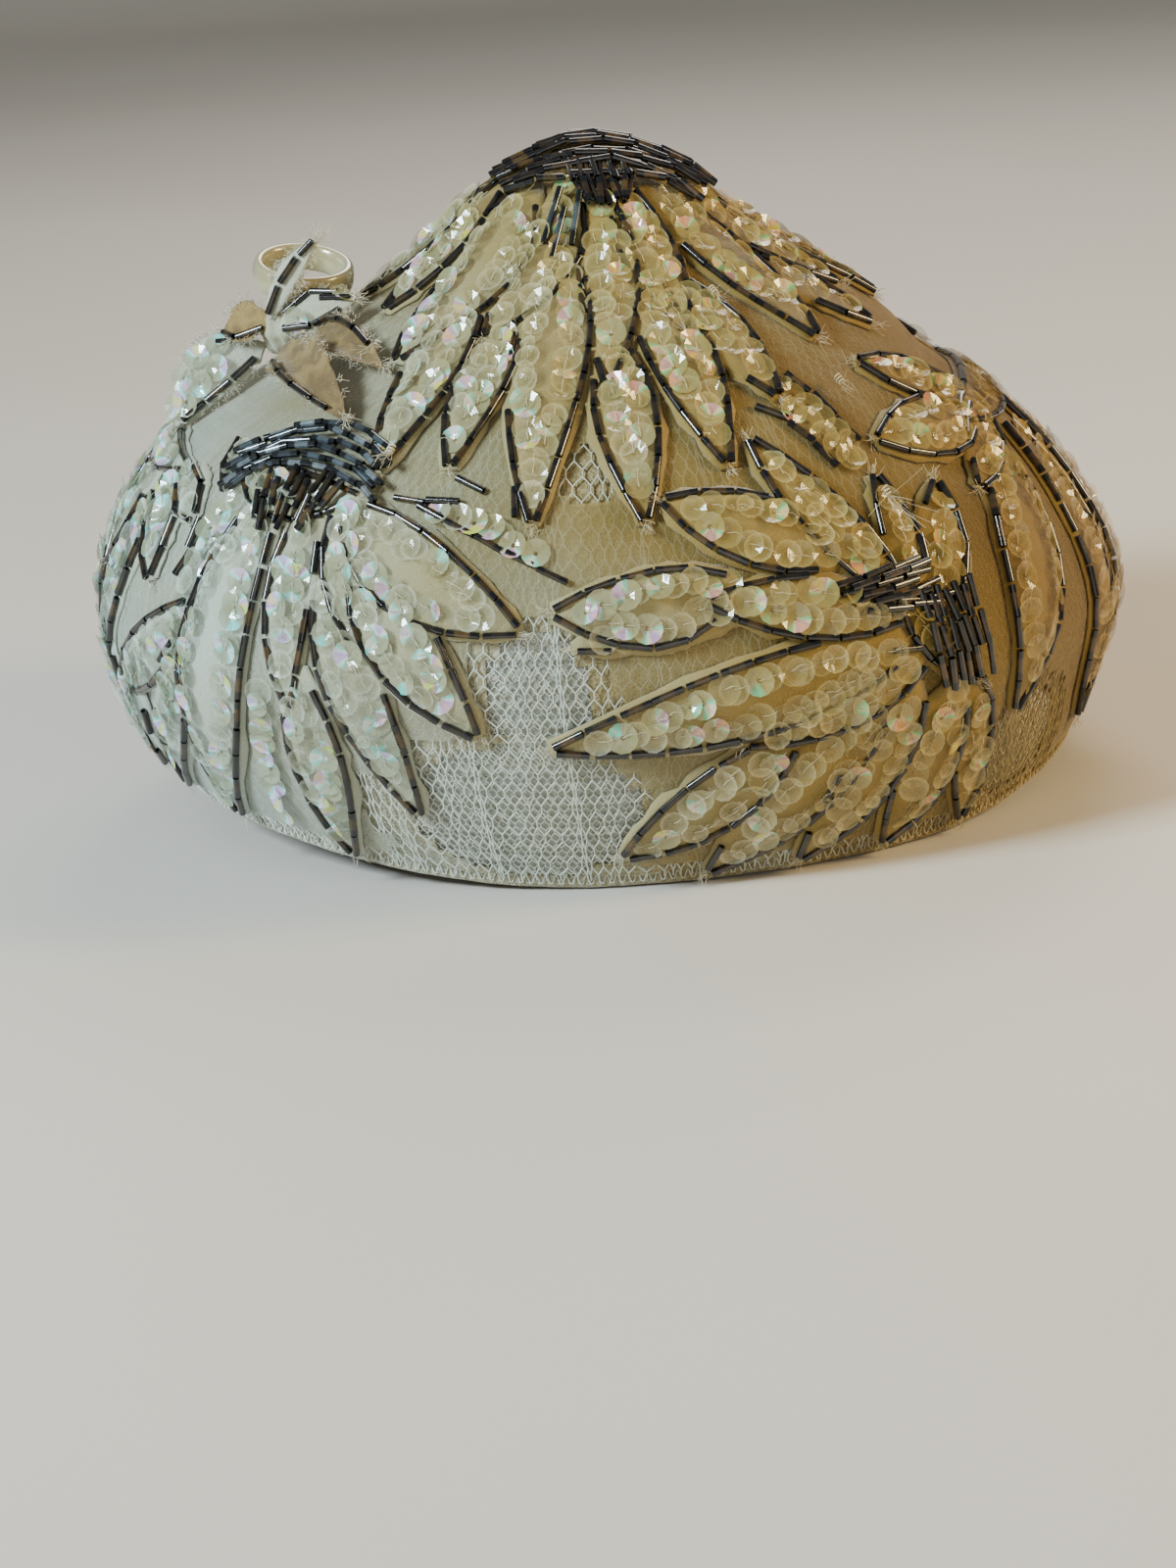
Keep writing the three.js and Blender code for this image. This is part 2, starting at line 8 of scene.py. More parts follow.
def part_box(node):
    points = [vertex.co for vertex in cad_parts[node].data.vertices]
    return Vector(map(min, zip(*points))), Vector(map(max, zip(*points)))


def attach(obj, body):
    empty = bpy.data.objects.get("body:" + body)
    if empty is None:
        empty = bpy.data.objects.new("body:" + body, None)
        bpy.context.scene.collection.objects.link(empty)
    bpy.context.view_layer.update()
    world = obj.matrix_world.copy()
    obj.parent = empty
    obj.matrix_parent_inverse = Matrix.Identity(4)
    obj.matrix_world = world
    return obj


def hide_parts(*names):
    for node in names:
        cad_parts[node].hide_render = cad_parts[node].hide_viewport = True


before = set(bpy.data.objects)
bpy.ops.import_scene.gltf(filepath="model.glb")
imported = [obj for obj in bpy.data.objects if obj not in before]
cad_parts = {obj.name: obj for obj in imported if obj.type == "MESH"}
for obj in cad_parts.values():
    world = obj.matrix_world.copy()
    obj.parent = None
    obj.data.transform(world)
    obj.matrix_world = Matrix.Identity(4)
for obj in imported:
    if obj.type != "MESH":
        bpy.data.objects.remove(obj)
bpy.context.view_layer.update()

MM = 0.001
rng = np.random.default_rng(7)

# Crown sizes in millimetres, on the outside of the net, as in the solids
PEAK_HEIGHT = 138.0
BULGE_HEIGHT = 48.0
RIM_FRONT, RIM_BACK, RIM_SIDE = 99.0, 98.0, 84.0
BULGE_FRONT, BULGE_BACK, BULGE_SIDE = 113.0, 108.0, 97.0
RIM_RISE_FRONT = 8.0
RIM_RISE_BACK = 5.0
HEM_PROUD = 0.2

# Way, height share, and front, back and side shares between the rim's and the bulge's reach
SKIRT_ROWS = [
    (0.0, 0.0, 0.0, 0.0, 0.0),
    (0.08, 0.29, 0.57, 0.6, 0.52),
    (0.18, 0.67, 0.92, 1.0, 0.9),
    (0.27, 1.0, 1.0, 0.7, 1.0),
]
# Way, share of the rise above the bulge, and front, back and side shares of the bulge's reach
DOME_ROWS = [
    (0.37, 0.19, 0.955, 0.885, 0.955),
    (0.47, 0.36, 0.855, 0.755, 0.85),
    (0.57, 0.505, 0.7, 0.63, 0.71),
    (0.67, 0.62, 0.54, 0.52, 0.565),
    (0.77, 0.72, 0.4, 0.39, 0.41),
    (0.87, 0.835, 0.28, 0.25, 0.27),
    (0.94, 0.93, 0.18, 0.155, 0.175),
    (1.0, 1.0, 0.0, 0.0, 0.0),
]
# Azimuth, way, spread in degrees, spread in way, depth as a share of the bulge's side reach
FOLD_ROWS = [
    (38, 0.61, 26, 0.06, -0.04),
    (33, 0.51, 30, 0.055, 0.025),
    (175, 0.545, 22, 0.045, -0.02),
    (146, 0.13, 16, 0.08, -0.03),
]

# Leaves: from azimuth, from way, to azimuth, to way, width, bend, and whether the right side has one too
LEAF_ROWS = {
    "crown": [
        (0, 0.95, 0, 0.72, 15, 0, False),
        (24, 0.95, 27, 0.73, 12, 0, True),
        (48, 0.95, 46, 0.65, 18, 3, True),
        (57, 0.76, 59, 0.505, 14, -2, True),
        (75, 0.95, 64, 0.695, 15, 1, True),
        (68.5, 0.74, 68.5, 0.51, 12, -1, True),
        (78, 0.87, 80, 0.44, 16, 0, True),
        (92, 0.95, 89.5, 0.61, 12, 1, True),
        (91.5, 0.69, 93, 0.435, 12, 0, True),
        (108, 0.95, 107, 0.685, 12, 0, True),
        (101, 0.8, 106, 0.49, 14, 1, True),
        (111, 0.79, 119, 0.565, 12, 0, True),
        (129, 0.95, 136, 0.64, 15, 2, True),
        (150, 0.95, 165, 0.7, 13, 1, True),
        (145, 0.8, 156, 0.63, 11, 0, True),
        (180, 0.95, 180, 0.65, 14, 0, False),
    ],
    "front": [
        (37, 0.5, 58, 0.475, 11, -3, True),
        (56.5, 0.465, 79, 0.325, 16, -2, True),
        (60, 0.44, 74, 0.205, 15, -2, True),
        (56.5, 0.49, 61, 0.31, 11, 0, True),
        (56, 0.4, 66, 0.1, 13, 0, True),
        (51.5, 0.48, 52.5, 0.225, 11, 0, True),
        (54, 0.28, 54.5, 0.02, 13, 1, True),
        (45, 0.49, 36, 0.03, 19, 1, True),
        (39, 0.34, 16, 0.17, 12, 1, True),
        (37, 0.3, 23, 0.04, 11, 1, True),
        (22.5, 0.23, 15, 0.05, 11, 0, True),
    ],
    "side": [
        (122, 0.32, 130, 0.2, 12, 0, True),
        (123, 0.3, 110.5, 0.52, 12, 0, True),
        (118, 0.37, 95.5, 0.46, 16, 0, True),
        (124, 0.3, 98.5, 0.345, 13, 0, True),
        (103, 0.36, 82, 0.345, 15, 2, True),
        (104, 0.332, 84, 0.305, 10, -2, True),
        (123, 0.27, 81, 0.19, 15, 0, True),
        (124, 0.25, 101, 0.18, 12, 0, True),
        (107, 0.18, 87.5, 0.05, 14, 1, True),
        (118, 0.22, 97, 0.02, 15, 1, True),
        (122, 0.22, 108, 0.02, 14, 1, True),
        (127, 0.21, 119, 0.02, 15, 1, True),
        (130, 0.21, 131, 0.02, 11, 0, True),
        (124, 0.3, 127, 0.45, 9, 0, True),
        (126, 0.29, 136, 0.425, 11, 0, True),
    ],
    "back": [
        (152, 0.475, 208, 0.475, 12, 0, False),
        (164, 0.485, 140, 0.59, 12, 0, True),
        (157, 0.475, 131, 0.487, 15, 0, True),
        (163, 0.48, 143, 0.4, 10, 0, True),
        (155, 0.46, 138, 0.135, 18, -3, True),
        (167, 0.47, 158, 0.06, 16, 0, True),
        (180, 0.47, 180, 0.06, 17, 0, False),
    ],
    "brow": [
        (-24, 0.48, 24, 0.48, 11, 0, False),
        (24, 0.48, 32, 0.425, 9, 0, True),
        (21, 0.48, 27, 0.345, 12, 0, True),
        (12, 0.48, 8, 0.33, 13, 0, True),
        (20, 0.465, 10, 0.2, 12, 1, True),
        (12, 0.27, 8, 0.05, 12, 0, True),
        (0, 0.48, 0, 0.2, 14, 0, False),
    ],
}

# Bead and sequin sizes
BUGLE_LENGTH = 6.6
BUGLE_RADIUS = 0.78
BUGLE_PITCH = 7.2
BUGLE_SIDES = 7
SEQUIN_RADIUS = 3.0
SEQUIN_PITCH = 3.3
STRAND_RADIUS = 0.2
THREAD_RADIUS = 0.09
# The lowest that any piece reaches
LOWEST = 0.05

# The hat's own axis, in the row frame
OFFSET_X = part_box("net_hem")[1].x / MM - RIM_BACK - HEM_PROUD


def section_table():
    rows = []
    for way, height, front, back, side in SKIRT_ROWS:
        rows.append((
            way,
            height * BULGE_HEIGHT,
            RIM_FRONT + (BULGE_FRONT - RIM_FRONT) * front,
            RIM_BACK + (BULGE_BACK - RIM_BACK) * back,
            RIM_SIDE + (BULGE_SIDE - RIM_SIDE) * side,
        ))
    for way, height, front, back, side in DOME_ROWS:
        rows.append((
            way,
            BULGE_HEIGHT + (PEAK_HEIGHT - BULGE_HEIGHT) * height,
            BULGE_FRONT * front,
            BULGE_BACK * back,
            BULGE_SIDE * side,
        ))
    return np.array(rows)


SECTIONS = section_table()
WAYS = SECTIONS[:, 0]
HEIGHT, FRONT, BACK, SIDE = 1, 2, 3, 4


def section_slopes():
    slopes = np.zeros_like(SECTIONS)
    last = len(WAYS) - 1
    for i in range(last + 1):
        low = max(0, i - 1)
        high = min(last, i + 1)
        slopes[i] = (SECTIONS[high] - SECTIONS[low]) / (WAYS[high] - WAYS[low])
    slopes[last, HEIGHT] = 0.0
    return slopes


SLOPES = section_slopes()


def section_value(column, way):
    held = np.clip(way, 0, 1)
    i = np.clip(np.searchsorted(WAYS, held, side="right") - 1, 0, len(WAYS) - 2)
    span = WAYS[i + 1] - WAYS[i]
    t = (held - WAYS[i]) / span
    t2 = t * t
    t3 = t2 * t
    return (
        (2 * t3 - 3 * t2 + 1) * SECTIONS[i, column]
        + (t3 - 2 * t2 + t) * span * SLOPES[i, column]
        + (3 * t2 - 2 * t3) * SECTIONS[i + 1, column]
        + (t3 - t2) * span * SLOPES[i + 1, column]
    )


def ease(t):
    held = np.clip(t, 0, 1)
    return held * held * (3 - 2 * held)


def from_front(azimuth):
    turned = np.mod(azimuth, 360)
    return np.where(turned > 180, 360 - turned, turned)


def rim_rise(azimuth):
    angle = from_front(azimuth)
    return RIM_RISE_FRONT * ease((85 - angle) / 60) + RIM_RISE_BACK * ease((angle - 125) / 45)


def net_point(azimuth, way):
    """Points on the outside of the net, in millimetres. Azimuth 0 is the front, 90 the left side."""
    azimuth, way = np.broadcast_arrays(np.asarray(azimuth, float), np.asarray(way, float))
    c = -np.cos(np.radians(azimuth))
    s = -np.sin(np.radians(azimuth))
    x = c * np.where(c < 0, section_value(FRONT, way), section_value(BACK, way))
    y = s * section_value(SIDE, way)
    reach = np.hypot(x, y)
    angle = from_front(azimuth)
    fold = np.zeros_like(x)
    for fold_azimuth, fold_way, spread, way_spread, depth in FOLD_ROWS:
        a = (angle - fold_azimuth) / spread
        b = (way - fold_way) / way_spread
        fold = fold + depth * BULGE_SIDE * np.exp(-a * a - b * b)
    grow = np.where(reach > 1, (reach + fold) / np.maximum(reach, 1e-6), 1.0)
    z = section_value(HEIGHT, way) + rim_rise(azimuth) * ease(1 - way / 0.36)
    return np.stack([x * grow, y * grow, z], axis=-1)


def unit(v):
    return v / np.maximum(np.linalg.norm(v, axis=-1, keepdims=True), 1e-9)


def net_frame(azimuth, way):
    """The two tangents, per degree and per way, and the outward normal."""
    step_a = 0.05
    step_w = 0.0005
    w = np.minimum(way, 1 - 2 * step_w)
    around = (net_point(azimuth + step_a, w) - net_point(azimuth - step_a, w)) / (2 * step_a)
    up = (net_point(azimuth, w + step_w) - net_point(azimuth, w - step_w)) / (2 * step_w)
    return around, up, unit(np.cross(around, up))


def lifted(azimuth, way, lift):
    azimuth, way, lift = np.broadcast_arrays(
        np.asarray(azimuth, float), np.asarray(way, float), np.asarray(lift, float))
    normal = net_frame(azimuth, way)[2]
    return net_point(azimuth, way) + normal * lift[..., None]


# Meshes from arrays


def add_piece(name, verts, faces, material, smooth=True, attributes=None, body="root"):
    """One mesh object from points in millimetres and a list of face arrays."""
    verts = np.asarray(verts, float).reshape(-1, 3).copy()
    verts[:, 0] += OFFSET_X
    verts[:, 2] = np.maximum(verts[:, 2], LOWEST)
    verts *= MM
    mesh = bpy.data.meshes.new(name)
    mesh.vertices.add(len(verts))
    mesh.vertices.foreach_set("co", verts.ravel())
    starts = []
    totals = []
    corners = []
    count = 0
    for block in faces:
        block = np.asarray(block, int)
        if not len(block):
            continue
        sides = block.shape[1]
        starts.append(count + np.arange(len(block)) * sides)
        totals.append(np.full(len(block), sides))
        corners.append(block.ravel())
        count += block.size
    mesh.loops.add(count)
    mesh.loops.foreach_set("vertex_index", np.concatenate(corners))
    starts = np.concatenate(starts)
    mesh.polygons.add(len(starts))
    mesh.polygons.foreach_set("loop_start", starts)
    mesh.polygons.foreach_set("loop_total", np.concatenate(totals))
    mesh.polygons.foreach_set("use_smooth", np.full(len(starts), smooth))
    mesh.update(calc_edges=True)
    mesh.validate()
    for key, values in (attributes or {}).items():
        layer = mesh.attributes.new(key, "FLOAT", "POINT")
        layer.data.foreach_set("value", np.asarray(values, float).ravel())
    mesh.materials.append(material)
    piece = bpy.data.objects.new(name, mesh)
    bpy.context.scene.collection.objects.link(piece)
    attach(piece, body)
    return piece


def stamp(template, faces, axes, places):
    """Copies of a template: axes is (n, 3, 3) with the template's x, y and z in its rows."""
    verts = np.einsum("vk,nkj->nvj", template, axes) + places[:, None, :]
    count = len(template)
    blocks = [
        (np.asarray(block)[None, :, :] + count * np.arange(len(places))[:, None, None]).reshape(
            -1, np.asarray(block).shape[1])
        for block in faces
    ]
    return verts.reshape(-1, 3), blocks


def join(parts):
    """Several (verts, blocks) as one."""
    verts = []
    blocks = []
    count = 0
    for part_verts, part_blocks in parts:
        part_verts = np.asarray(part_verts).reshape(-1, 3)
        verts.append(part_verts)
        blocks.extend(np.asarray(block) + count for block in part_blocks)
        count += len(part_verts)
    return np.concatenate(verts), blocks


def tubes(paths, radius, sides=3, hint=None):
    """Open tubes along paths of equal point counts: paths is (n, m, 3)."""
    paths = np.asarray(paths, float)
    n, m, _ = paths.shape
    tangent = np.gradient(paths, axis=1) if m > 2 else np.repeat(paths[:, 1:] - paths[:, :1], 2, axis=1)
    tangent = unit(tangent)
    if hint is None:
        hint = np.where(np.abs(tangent[..., 2:3]) > 0.9, [1.0, 0, 0], [0, 0, 1.0])
    first = unit(np.cross(tangent, hint))
    second = np.cross(tangent, first)
    angle = 2 * np.pi * np.arange(sides) / sides
    size = np.broadcast_to(np.asarray(radius, float), (n, m))[:, :, None, None]
    ring = (
        first[:, :, None, :] * np.cos(angle)[None, None, :, None]
        + second[:, :, None, :] * np.sin(angle)[None, None, :, None]
    )
    verts = paths[:, :, None, :] + ring * size
    k = np.arange(sides)
    quad = []
    for i in range(m - 1):
        a = i * sides
        b = a + sides
        quad.append(np.stack([a + k, a + (k + 1) % sides, b + (k + 1) % sides, b + k], axis=1))
    quad = np.concatenate(quad)
    blocks = (quad[None] + (m * sides) * np.arange(n)[:, None, None]).reshape(-1, 4)
    return verts.reshape(-1, 3), [blocks]


def grid_faces(rows, columns, wrap=False, start=0, turned=False):
    """Quads of a grid of points laid out row by row."""
    across = columns if wrap else columns - 1
    i, j = np.meshgrid(np.arange(rows - 1), np.arange(across), indexing="ij")
    k = (j + 1) % columns
    quad = np.stack([i * columns + j, i * columns + k, (i + 1) * columns + k, (i + 1) * columns + j], -1)
    quad = quad.reshape(-1, 4) + start
    return quad[:, ::-1] if turned else quad


# Materials


def new_material(name, roughness, **sockets):
    material = bpy.data.materials.new(name)
    material.use_nodes = True
    shader = material.node_tree.nodes["Principled BSDF"]
    shader.inputs["Roughness"].default_value = roughness
    for key, value in sockets.items():
        shader.inputs[key.replace("_", " ")].default_value = value
    return material, material.node_tree, shader


def add_node(tree, kind, **settings):
    node = tree.nodes.new(kind)
    for key, value in settings.items():
        if isinstance(value, (int, float, tuple)) and key in node.inputs:
            node.inputs[key].default_value = value
        else:
            setattr(node, key, value)
    return node


def add_ramp(tree, stops, source):
    ramp = tree.nodes.new("ShaderNodeValToRGB")
    while len(ramp.color_ramp.elements) < len(stops):
        ramp.color_ramp.elements.new(0.5)
    for element, (place, colour) in zip(ramp.color_ramp.elements, stops):
        element.position = place
        element.color = (*colour, 1.0)
    tree.links.new(source, ramp.inputs["Fac"])
    return ramp.outputs["Color"]


def mix_colour(tree, factor, first, second, mode="MIX"):
    mix = tree.nodes.new("ShaderNodeMix")
    mix.data_type = "RGBA"
    mix.blend_type = mode
    for socket, value in ((mix.inputs[0], factor), (mix.inputs[6], first), (mix.inputs[7], second)):
        if isinstance(value, bpy.types.NodeSocket):
            tree.links.new(value, socket)
        else:
            socket.default_value = value if isinstance(value, float) else (*value, 1.0)
    return mix.outputs[2]


def ageing_and_painted_light_ramp(tree, stops, patches=45.0):
    """Colour that goes from the front of the hat to its back and up, with soft patches: partly the cloth's
    uneven ageing, partly painted light, cool on the front and warm with painted shade on the back.
    """
    place = tree.nodes.new("ShaderNodeTexCoord").outputs["Object"]
    apart = tree.nodes.new("ShaderNodeSeparateXYZ")
    tree.links.new(place, apart.inputs[0])
    noise = add_node(tree, "ShaderNodeTexNoise", Scale=patches, Detail=3.0)
    tree.links.new(place, noise.inputs["Vector"])
    rise = add_node(tree, "ShaderNodeMath", operation="MULTIPLY_ADD")
    tree.links.new(apart.outputs["Z"], rise.inputs[0])
    rise.inputs[1].default_value = 1.8
    rise.inputs[2].default_value = 0.17
    spread = add_node(tree, "ShaderNodeMath", operation="MULTIPLY_ADD")
    tree.links.new(apart.outputs["X"], spread.inputs[0])
    spread.inputs[1].default_value = 4.4
    tree.links.new(rise.outputs[0], spread.inputs[2])
    total = add_node(tree, "ShaderNodeMath", operation="MULTIPLY_ADD")
    tree.links.new(noise.outputs["Fac"], total.inputs[0])
    total.inputs[1].default_value = 0.4
    tree.links.new(spread.outputs[0], total.inputs[2])
    return add_ramp(tree, stops, total.outputs[0]), place


def add_bump(tree, shader, height, strength, distance):
    bump = tree.nodes.new("ShaderNodeBump")
    bump.inputs["Strength"].default_value = strength
    bump.inputs["Distance"].default_value = distance
    tree.links.new(height, bump.inputs["Height"])
    tree.links.new(bump.outputs["Normal"], shader.inputs["Normal"])


def cloth_material(name, stops, cell, cell_dark, strength, roughness=0.75, patches=45.0):
    """Fine net or sheer cloth: small cells in relief, soft colour patches."""
    material, tree, shader = new_material(name, roughness, Sheen_Weight=0.35, Sheen_Roughness=0.4)
    colour, place = ageing_and_painted_light_ramp(tree, stops, patches)
    cells = add_node(tree, "ShaderNodeTexVoronoi", feature="DISTANCE_TO_EDGE", Scale=1.0 / (cell * MM))
    tree.links.new(place, cells.inputs["Vector"])
    edge = add_ramp(tree, [(0.02, (1, 1, 1)), (0.16, (0, 0, 0))], cells.outputs["Distance"])
    dark = mix_colour(tree, 1.0, colour, cell_dark, "MULTIPLY")
    tree.links.new(mix_colour(tree, edge, dark, colour), shader.inputs["Base Color"])
    crumple = add_node(tree, "ShaderNodeTexNoise", Scale=170.0, Detail=3.0, Distortion=1.2)
    tree.links.new(place, crumple.inputs["Vector"])
    relief = add_node(tree, "ShaderNodeMath", operation="MULTIPLY_ADD")
    tree.links.new(crumple.outputs["Fac"], relief.inputs[0])
    relief.inputs[1].default_value = 4.0
    tree.links.new(edge, relief.inputs[2])
    add_bump(tree, shader, relief.outputs[0], strength, 0.0003)
    return material


# These stops are read along the front-to-back ramp: greenish cream at the front, ochre to dark brown at the
# back. Partly the cloth's uneven ageing, partly painted cool light on the front and painted warm light and
# painted shade on the back.
CREAM_STOPS = [
    (0.0, (0.45, 0.52, 0.47)),
    (0.18, (0.43, 0.45, 0.35)),
    (0.36, (0.36, 0.32, 0.165)),
    (0.58, (0.29, 0.20, 0.045)),
    (0.78, (0.22, 0.135, 0.014)),
    (1.0, (0.14, 0.075, 0.006)),
]
LINING_STOPS = [
    (0.0, (0.46, 0.51, 0.45)),
    (0.34, (0.44, 0.42, 0.29)),
    (0.58, (0.32, 0.235, 0.07)),
    (0.8, (0.215, 0.135, 0.017)),
    (1.0, (0.14, 0.078, 0.008)),
]
NET_STOPS = [
    (0.0, (0.56, 0.62, 0.56)),
    (0.45, (0.62, 0.65, 0.54)),
    (0.7, (0.42, 0.32, 0.13)),
    (1.0, (0.26, 0.17, 0.045)),
]
OCHRE_STOPS = [(0.12, (0.10, 0.065, 0.018)), (0.22, (0.36, 0.25, 0.08)), (0.32, (0.16, 0.10, 0.026)),
               (0.46, (0.44, 0.32, 0.12))]
# What the warm light from the back leaves of a clear colour
WARM_STOPS = [
    (0.0, (0.84, 1.0, 1.0)),
    (0.35, (1.0, 0.98, 0.86)),
    (0.6, (1.0, 0.78, 0.34)),
    (1.0, (0.74, 0.46, 0.11)),
]


def thread_material(name, stops):
    material, tree, shader = new_material(name, 0.6, Sheen_Weight=0.3)
    colour, place = ageing_and_painted_light_ramp(tree, stops)
    twist = add_node(tree, "ShaderNodeTexWave", Scale=900.0, Distortion=2.0)
    tree.links.new(place, twist.inputs["Vector"])
    tree.links.new(colour, shader.inputs["Base Color"])
    add_bump(tree, shader, twist.outputs["Fac"], 0.3, 0.0001)
    return material


def bugle_material(name, end_colour, stops, metallic):
    """Glass tubes, near-black at the ends and lighter in the middle."""
    material, tree, shader = new_material(
        name, 0.14, Coat_Weight=0.5, Coat_Roughness=0.05, IOR=1.5, Metallic=metallic)
    along = add_node(tree, "ShaderNodeAttribute", attribute_name="middle")
    tint = add_node(tree, "ShaderNodeAttribute", attribute_name="tint")
    noise = add_node(tree, "ShaderNodeTexNoise", Scale=700.0, Detail=2.0)
    place = tree.nodes.new("ShaderNodeTexCoord").outputs["Object"]
    tree.links.new(place, noise.inputs["Vector"])
    glow = add_ramp(tree, stops, tint.outputs["Fac"])
    streaked = mix_colour(tree, noise.outputs["Fac"], glow, stops[0][1])
    colour = mix_colour(tree, along.outputs["Fac"], end_colour, streaked)
    tree.links.new(colour, shader.inputs["Base Color"])
    return material


def sequin_material(name, stops, alpha, roughness):
    """Cupped sequins: the colour turns with the angle and from one sequin to the next."""
    material, tree, shader = new_material(
        name, roughness, Coat_Weight=1.0, Coat_Roughness=0.05, IOR=1.6, Alpha=alpha)
    tint = add_node(tree, "ShaderNodeAttribute", attribute_name="tint")
    facing = add_node(tree, "ShaderNodeLayerWeight", Blend=0.4)
    total = add_node(tree, "ShaderNodeMath", operation="MULTIPLY_ADD")
    tree.links.new(facing.outputs["Facing"], total.inputs[0])
    total.inputs[1].default_value = 0.3
    tree.links.new(tint.outputs["Fac"], total.inputs[2])
    # Painted warm light: the sequins' colour is multiplied by a tint that turns warm and darker towards the
    # back of the hat.
    painted_warm_light, _ = ageing_and_painted_light_ramp(tree, WARM_STOPS)
    colour = mix_colour(tree, 1.0, add_ramp(tree, stops, total.outputs[0]), painted_warm_light, "MULTIPLY")
    tree.links.new(colour, shader.inputs["Base Color"])
    return material


# Clear sequins: the lower stops are their own colour with the cloth behind; the near-white top stops are a
# painted highlight on the rims.
CLEAR_STOPS = [
    (0.0, (0.30, 0.29, 0.18)),
    (0.55, (0.40, 0.40, 0.28)),
    (0.85, (0.72, 0.76, 0.68)),
    (1.0, (0.95, 0.97, 0.92)),
]
# Film sequins: the first two stops are their own colour; the cyan, near-white, violet, pink and green stops
# are partly the real colour film and partly painted glints.
FILM_STOPS = [
    (0.0, (0.32, 0.33, 0.21)),
    (0.48, (0.42, 0.43, 0.30)),
    (0.6, (0.16, 0.86, 0.84)),
    (0.7, (0.98, 1.0, 0.98)),
    (0.8, (0.60, 0.42, 0.98)),
    (0.9, (0.98, 0.56, 0.56)),
    (1.0, (0.78, 0.90, 0.22)),
]


def pearl_material():
    material, tree, shader = new_material(
        "pearl", 0.24, Coat_Weight=1.0, Coat_Roughness=0.08, Metallic=0.15,
        Subsurface_Weight=0.15, Subsurface_Scale=0.002)
    place = tree.nodes.new("ShaderNodeTexCoord").outputs["Object"]
    noise = add_node(tree, "ShaderNodeTexNoise", Scale=60.0, Detail=3.0)
    facing = add_node(tree, "ShaderNodeLayerWeight", Blend=0.35)
    tree.links.new(place, noise.inputs["Vector"])
    cream = add_ramp(tree, [(0.3, (0.34, 0.26, 0.11)), (0.7, (0.46, 0.39, 0.20))], noise.outputs["Fac"])
    lit = mix_colour(tree, facing.outputs["Facing"], cream, (0.42, 0.43, 0.29))
    tree.links.new(lit, shader.inputs["Base Color"])
    return material


organza = cloth_material("organza", CREAM_STOPS, 0.55, (0.84, 0.82, 0.74), 0.35)
lining_cloth = cloth_material("fine_net", LINING_STOPS, 1.25, (0.66, 0.60, 0.48), 0.6)
ochre_cloth = cloth_material("organza_underside", OCHRE_STOPS, 0.55, (0.8, 0.74, 0.66), 0.5, patches=150.0)
sheer_cloth = cloth_material("sheer_net", [(0.3, (0.76, 0.80, 0.74)), (1.0, (0.70, 0.60, 0.40))],
                             1.25, (0.8, 0.78, 0.7), 0.5)
sheer_cloth.node_tree.nodes["Principled BSDF"].inputs["Alpha"].default_value = 0.55
cover_cloth = cloth_material("net_cover", CREAM_STOPS, 0.7, (0.8, 0.78, 0.7), 0.4)
cover_cloth.node_tree.nodes["Principled BSDF"].inputs["Alpha"].default_value = 0.62
PETAL_STOPS = [(0.0, (0.50, 0.53, 0.45)), (0.5, (0.50, 0.48, 0.34))]
petal_cloth_material = cloth_material("petal_organza", PETAL_STOPS, 0.5, (0.8, 0.78, 0.7), 0.4)
# The thread colours darken to ochre towards the back along the same ramp: partly ageing, partly painted
# warm light and painted shade.
net_thread = thread_material("net_thread", NET_STOPS)
cream_thread = thread_material(
    "cream_thread", [(0.0, (0.66, 0.66, 0.55)), (0.5, (0.60, 0.53, 0.33)), (1.0, (0.42, 0.28, 0.10))])
bugle_glass = bugle_material(
    "bugle_glass", (0.004, 0.004, 0.005),
    [(0.0, (0.010, 0.009, 0.008)), (0.5, (0.034, 0.020, 0.008)), (1.0, (0.12, 0.066, 0.017))], 0.0)
# A lighter, cooler copy of the bugle glass for the front pad rows and peak drops: partly a silver-lined
# finish, partly painted reflection of the cool light on the front.
bugle_silver_and_painted_glint = bugle_material(
    "bugle_silver_and_painted_glint", (0.012, 0.015, 0.018),
    [(0.0, (0.04, 0.05, 0.06)), (0.5, (0.11, 0.14, 0.16)), (1.0, (0.42, 0.50, 0.54))], 0.5)
clear_sequin = sequin_material("clear_sequin", CLEAR_STOPS, 0.36, 0.12)
film_sequin = sequin_material("film_sequin", FILM_STOPS, 0.66, 0.1)
pearl = pearl_material()


# Camera and light

FOCAL_PIXELS = 3600.0
IMAGE_HEIGHT = 1600.0
SENSOR = 36.0
PITCH = math.radians(17.5)
ROLL = math.radians(4.2)
DISTANCE = 800.0
AIM = (-10.5, 0.0, -4.0)


def add_camera():
    right = Vector((1, 0, 0))
    forward = Vector((0, math.cos(PITCH), -math.sin(PITCH)))
    up = right.cross(forward)
    turned_right = right * math.cos(ROLL) - up * math.sin(ROLL)
    turned_up = right * math.sin(ROLL) + up * math.cos(ROLL)
    aim = Vector(((AIM[0] + OFFSET_X) * MM, AIM[1] * MM, AIM[2] * MM))
    place = aim - forward * DISTANCE * MM
    data = bpy.data.cameras.new("camera")
    data.sensor_width = SENSOR
    data.lens = SENSOR * FOCAL_PIXELS / IMAGE_HEIGHT
    data.clip_start = 0.01
    camera = bpy.data.objects.new("camera", data)
    turn = Matrix((turned_right, turned_up, -forward)).transposed()
    camera.matrix_world = Matrix.Translation(place) @ turn.to_4x4()
    bpy.context.scene.collection.objects.link(camera)
    bpy.context.scene.camera = camera


def add_light(name, place, target, size, power, colour):
    data = bpy.data.lights.new(name, "AREA")
    data.size = size
    data.energy = power
    data.color = colour
    light = bpy.data.objects.new(name, data)
    light.location = place
    light.rotation_euler = (Vector(target) - Vector(place)).to_track_quat("-Z", "Y").to_euler()
    bpy.context.scene.collection.objects.link(light)


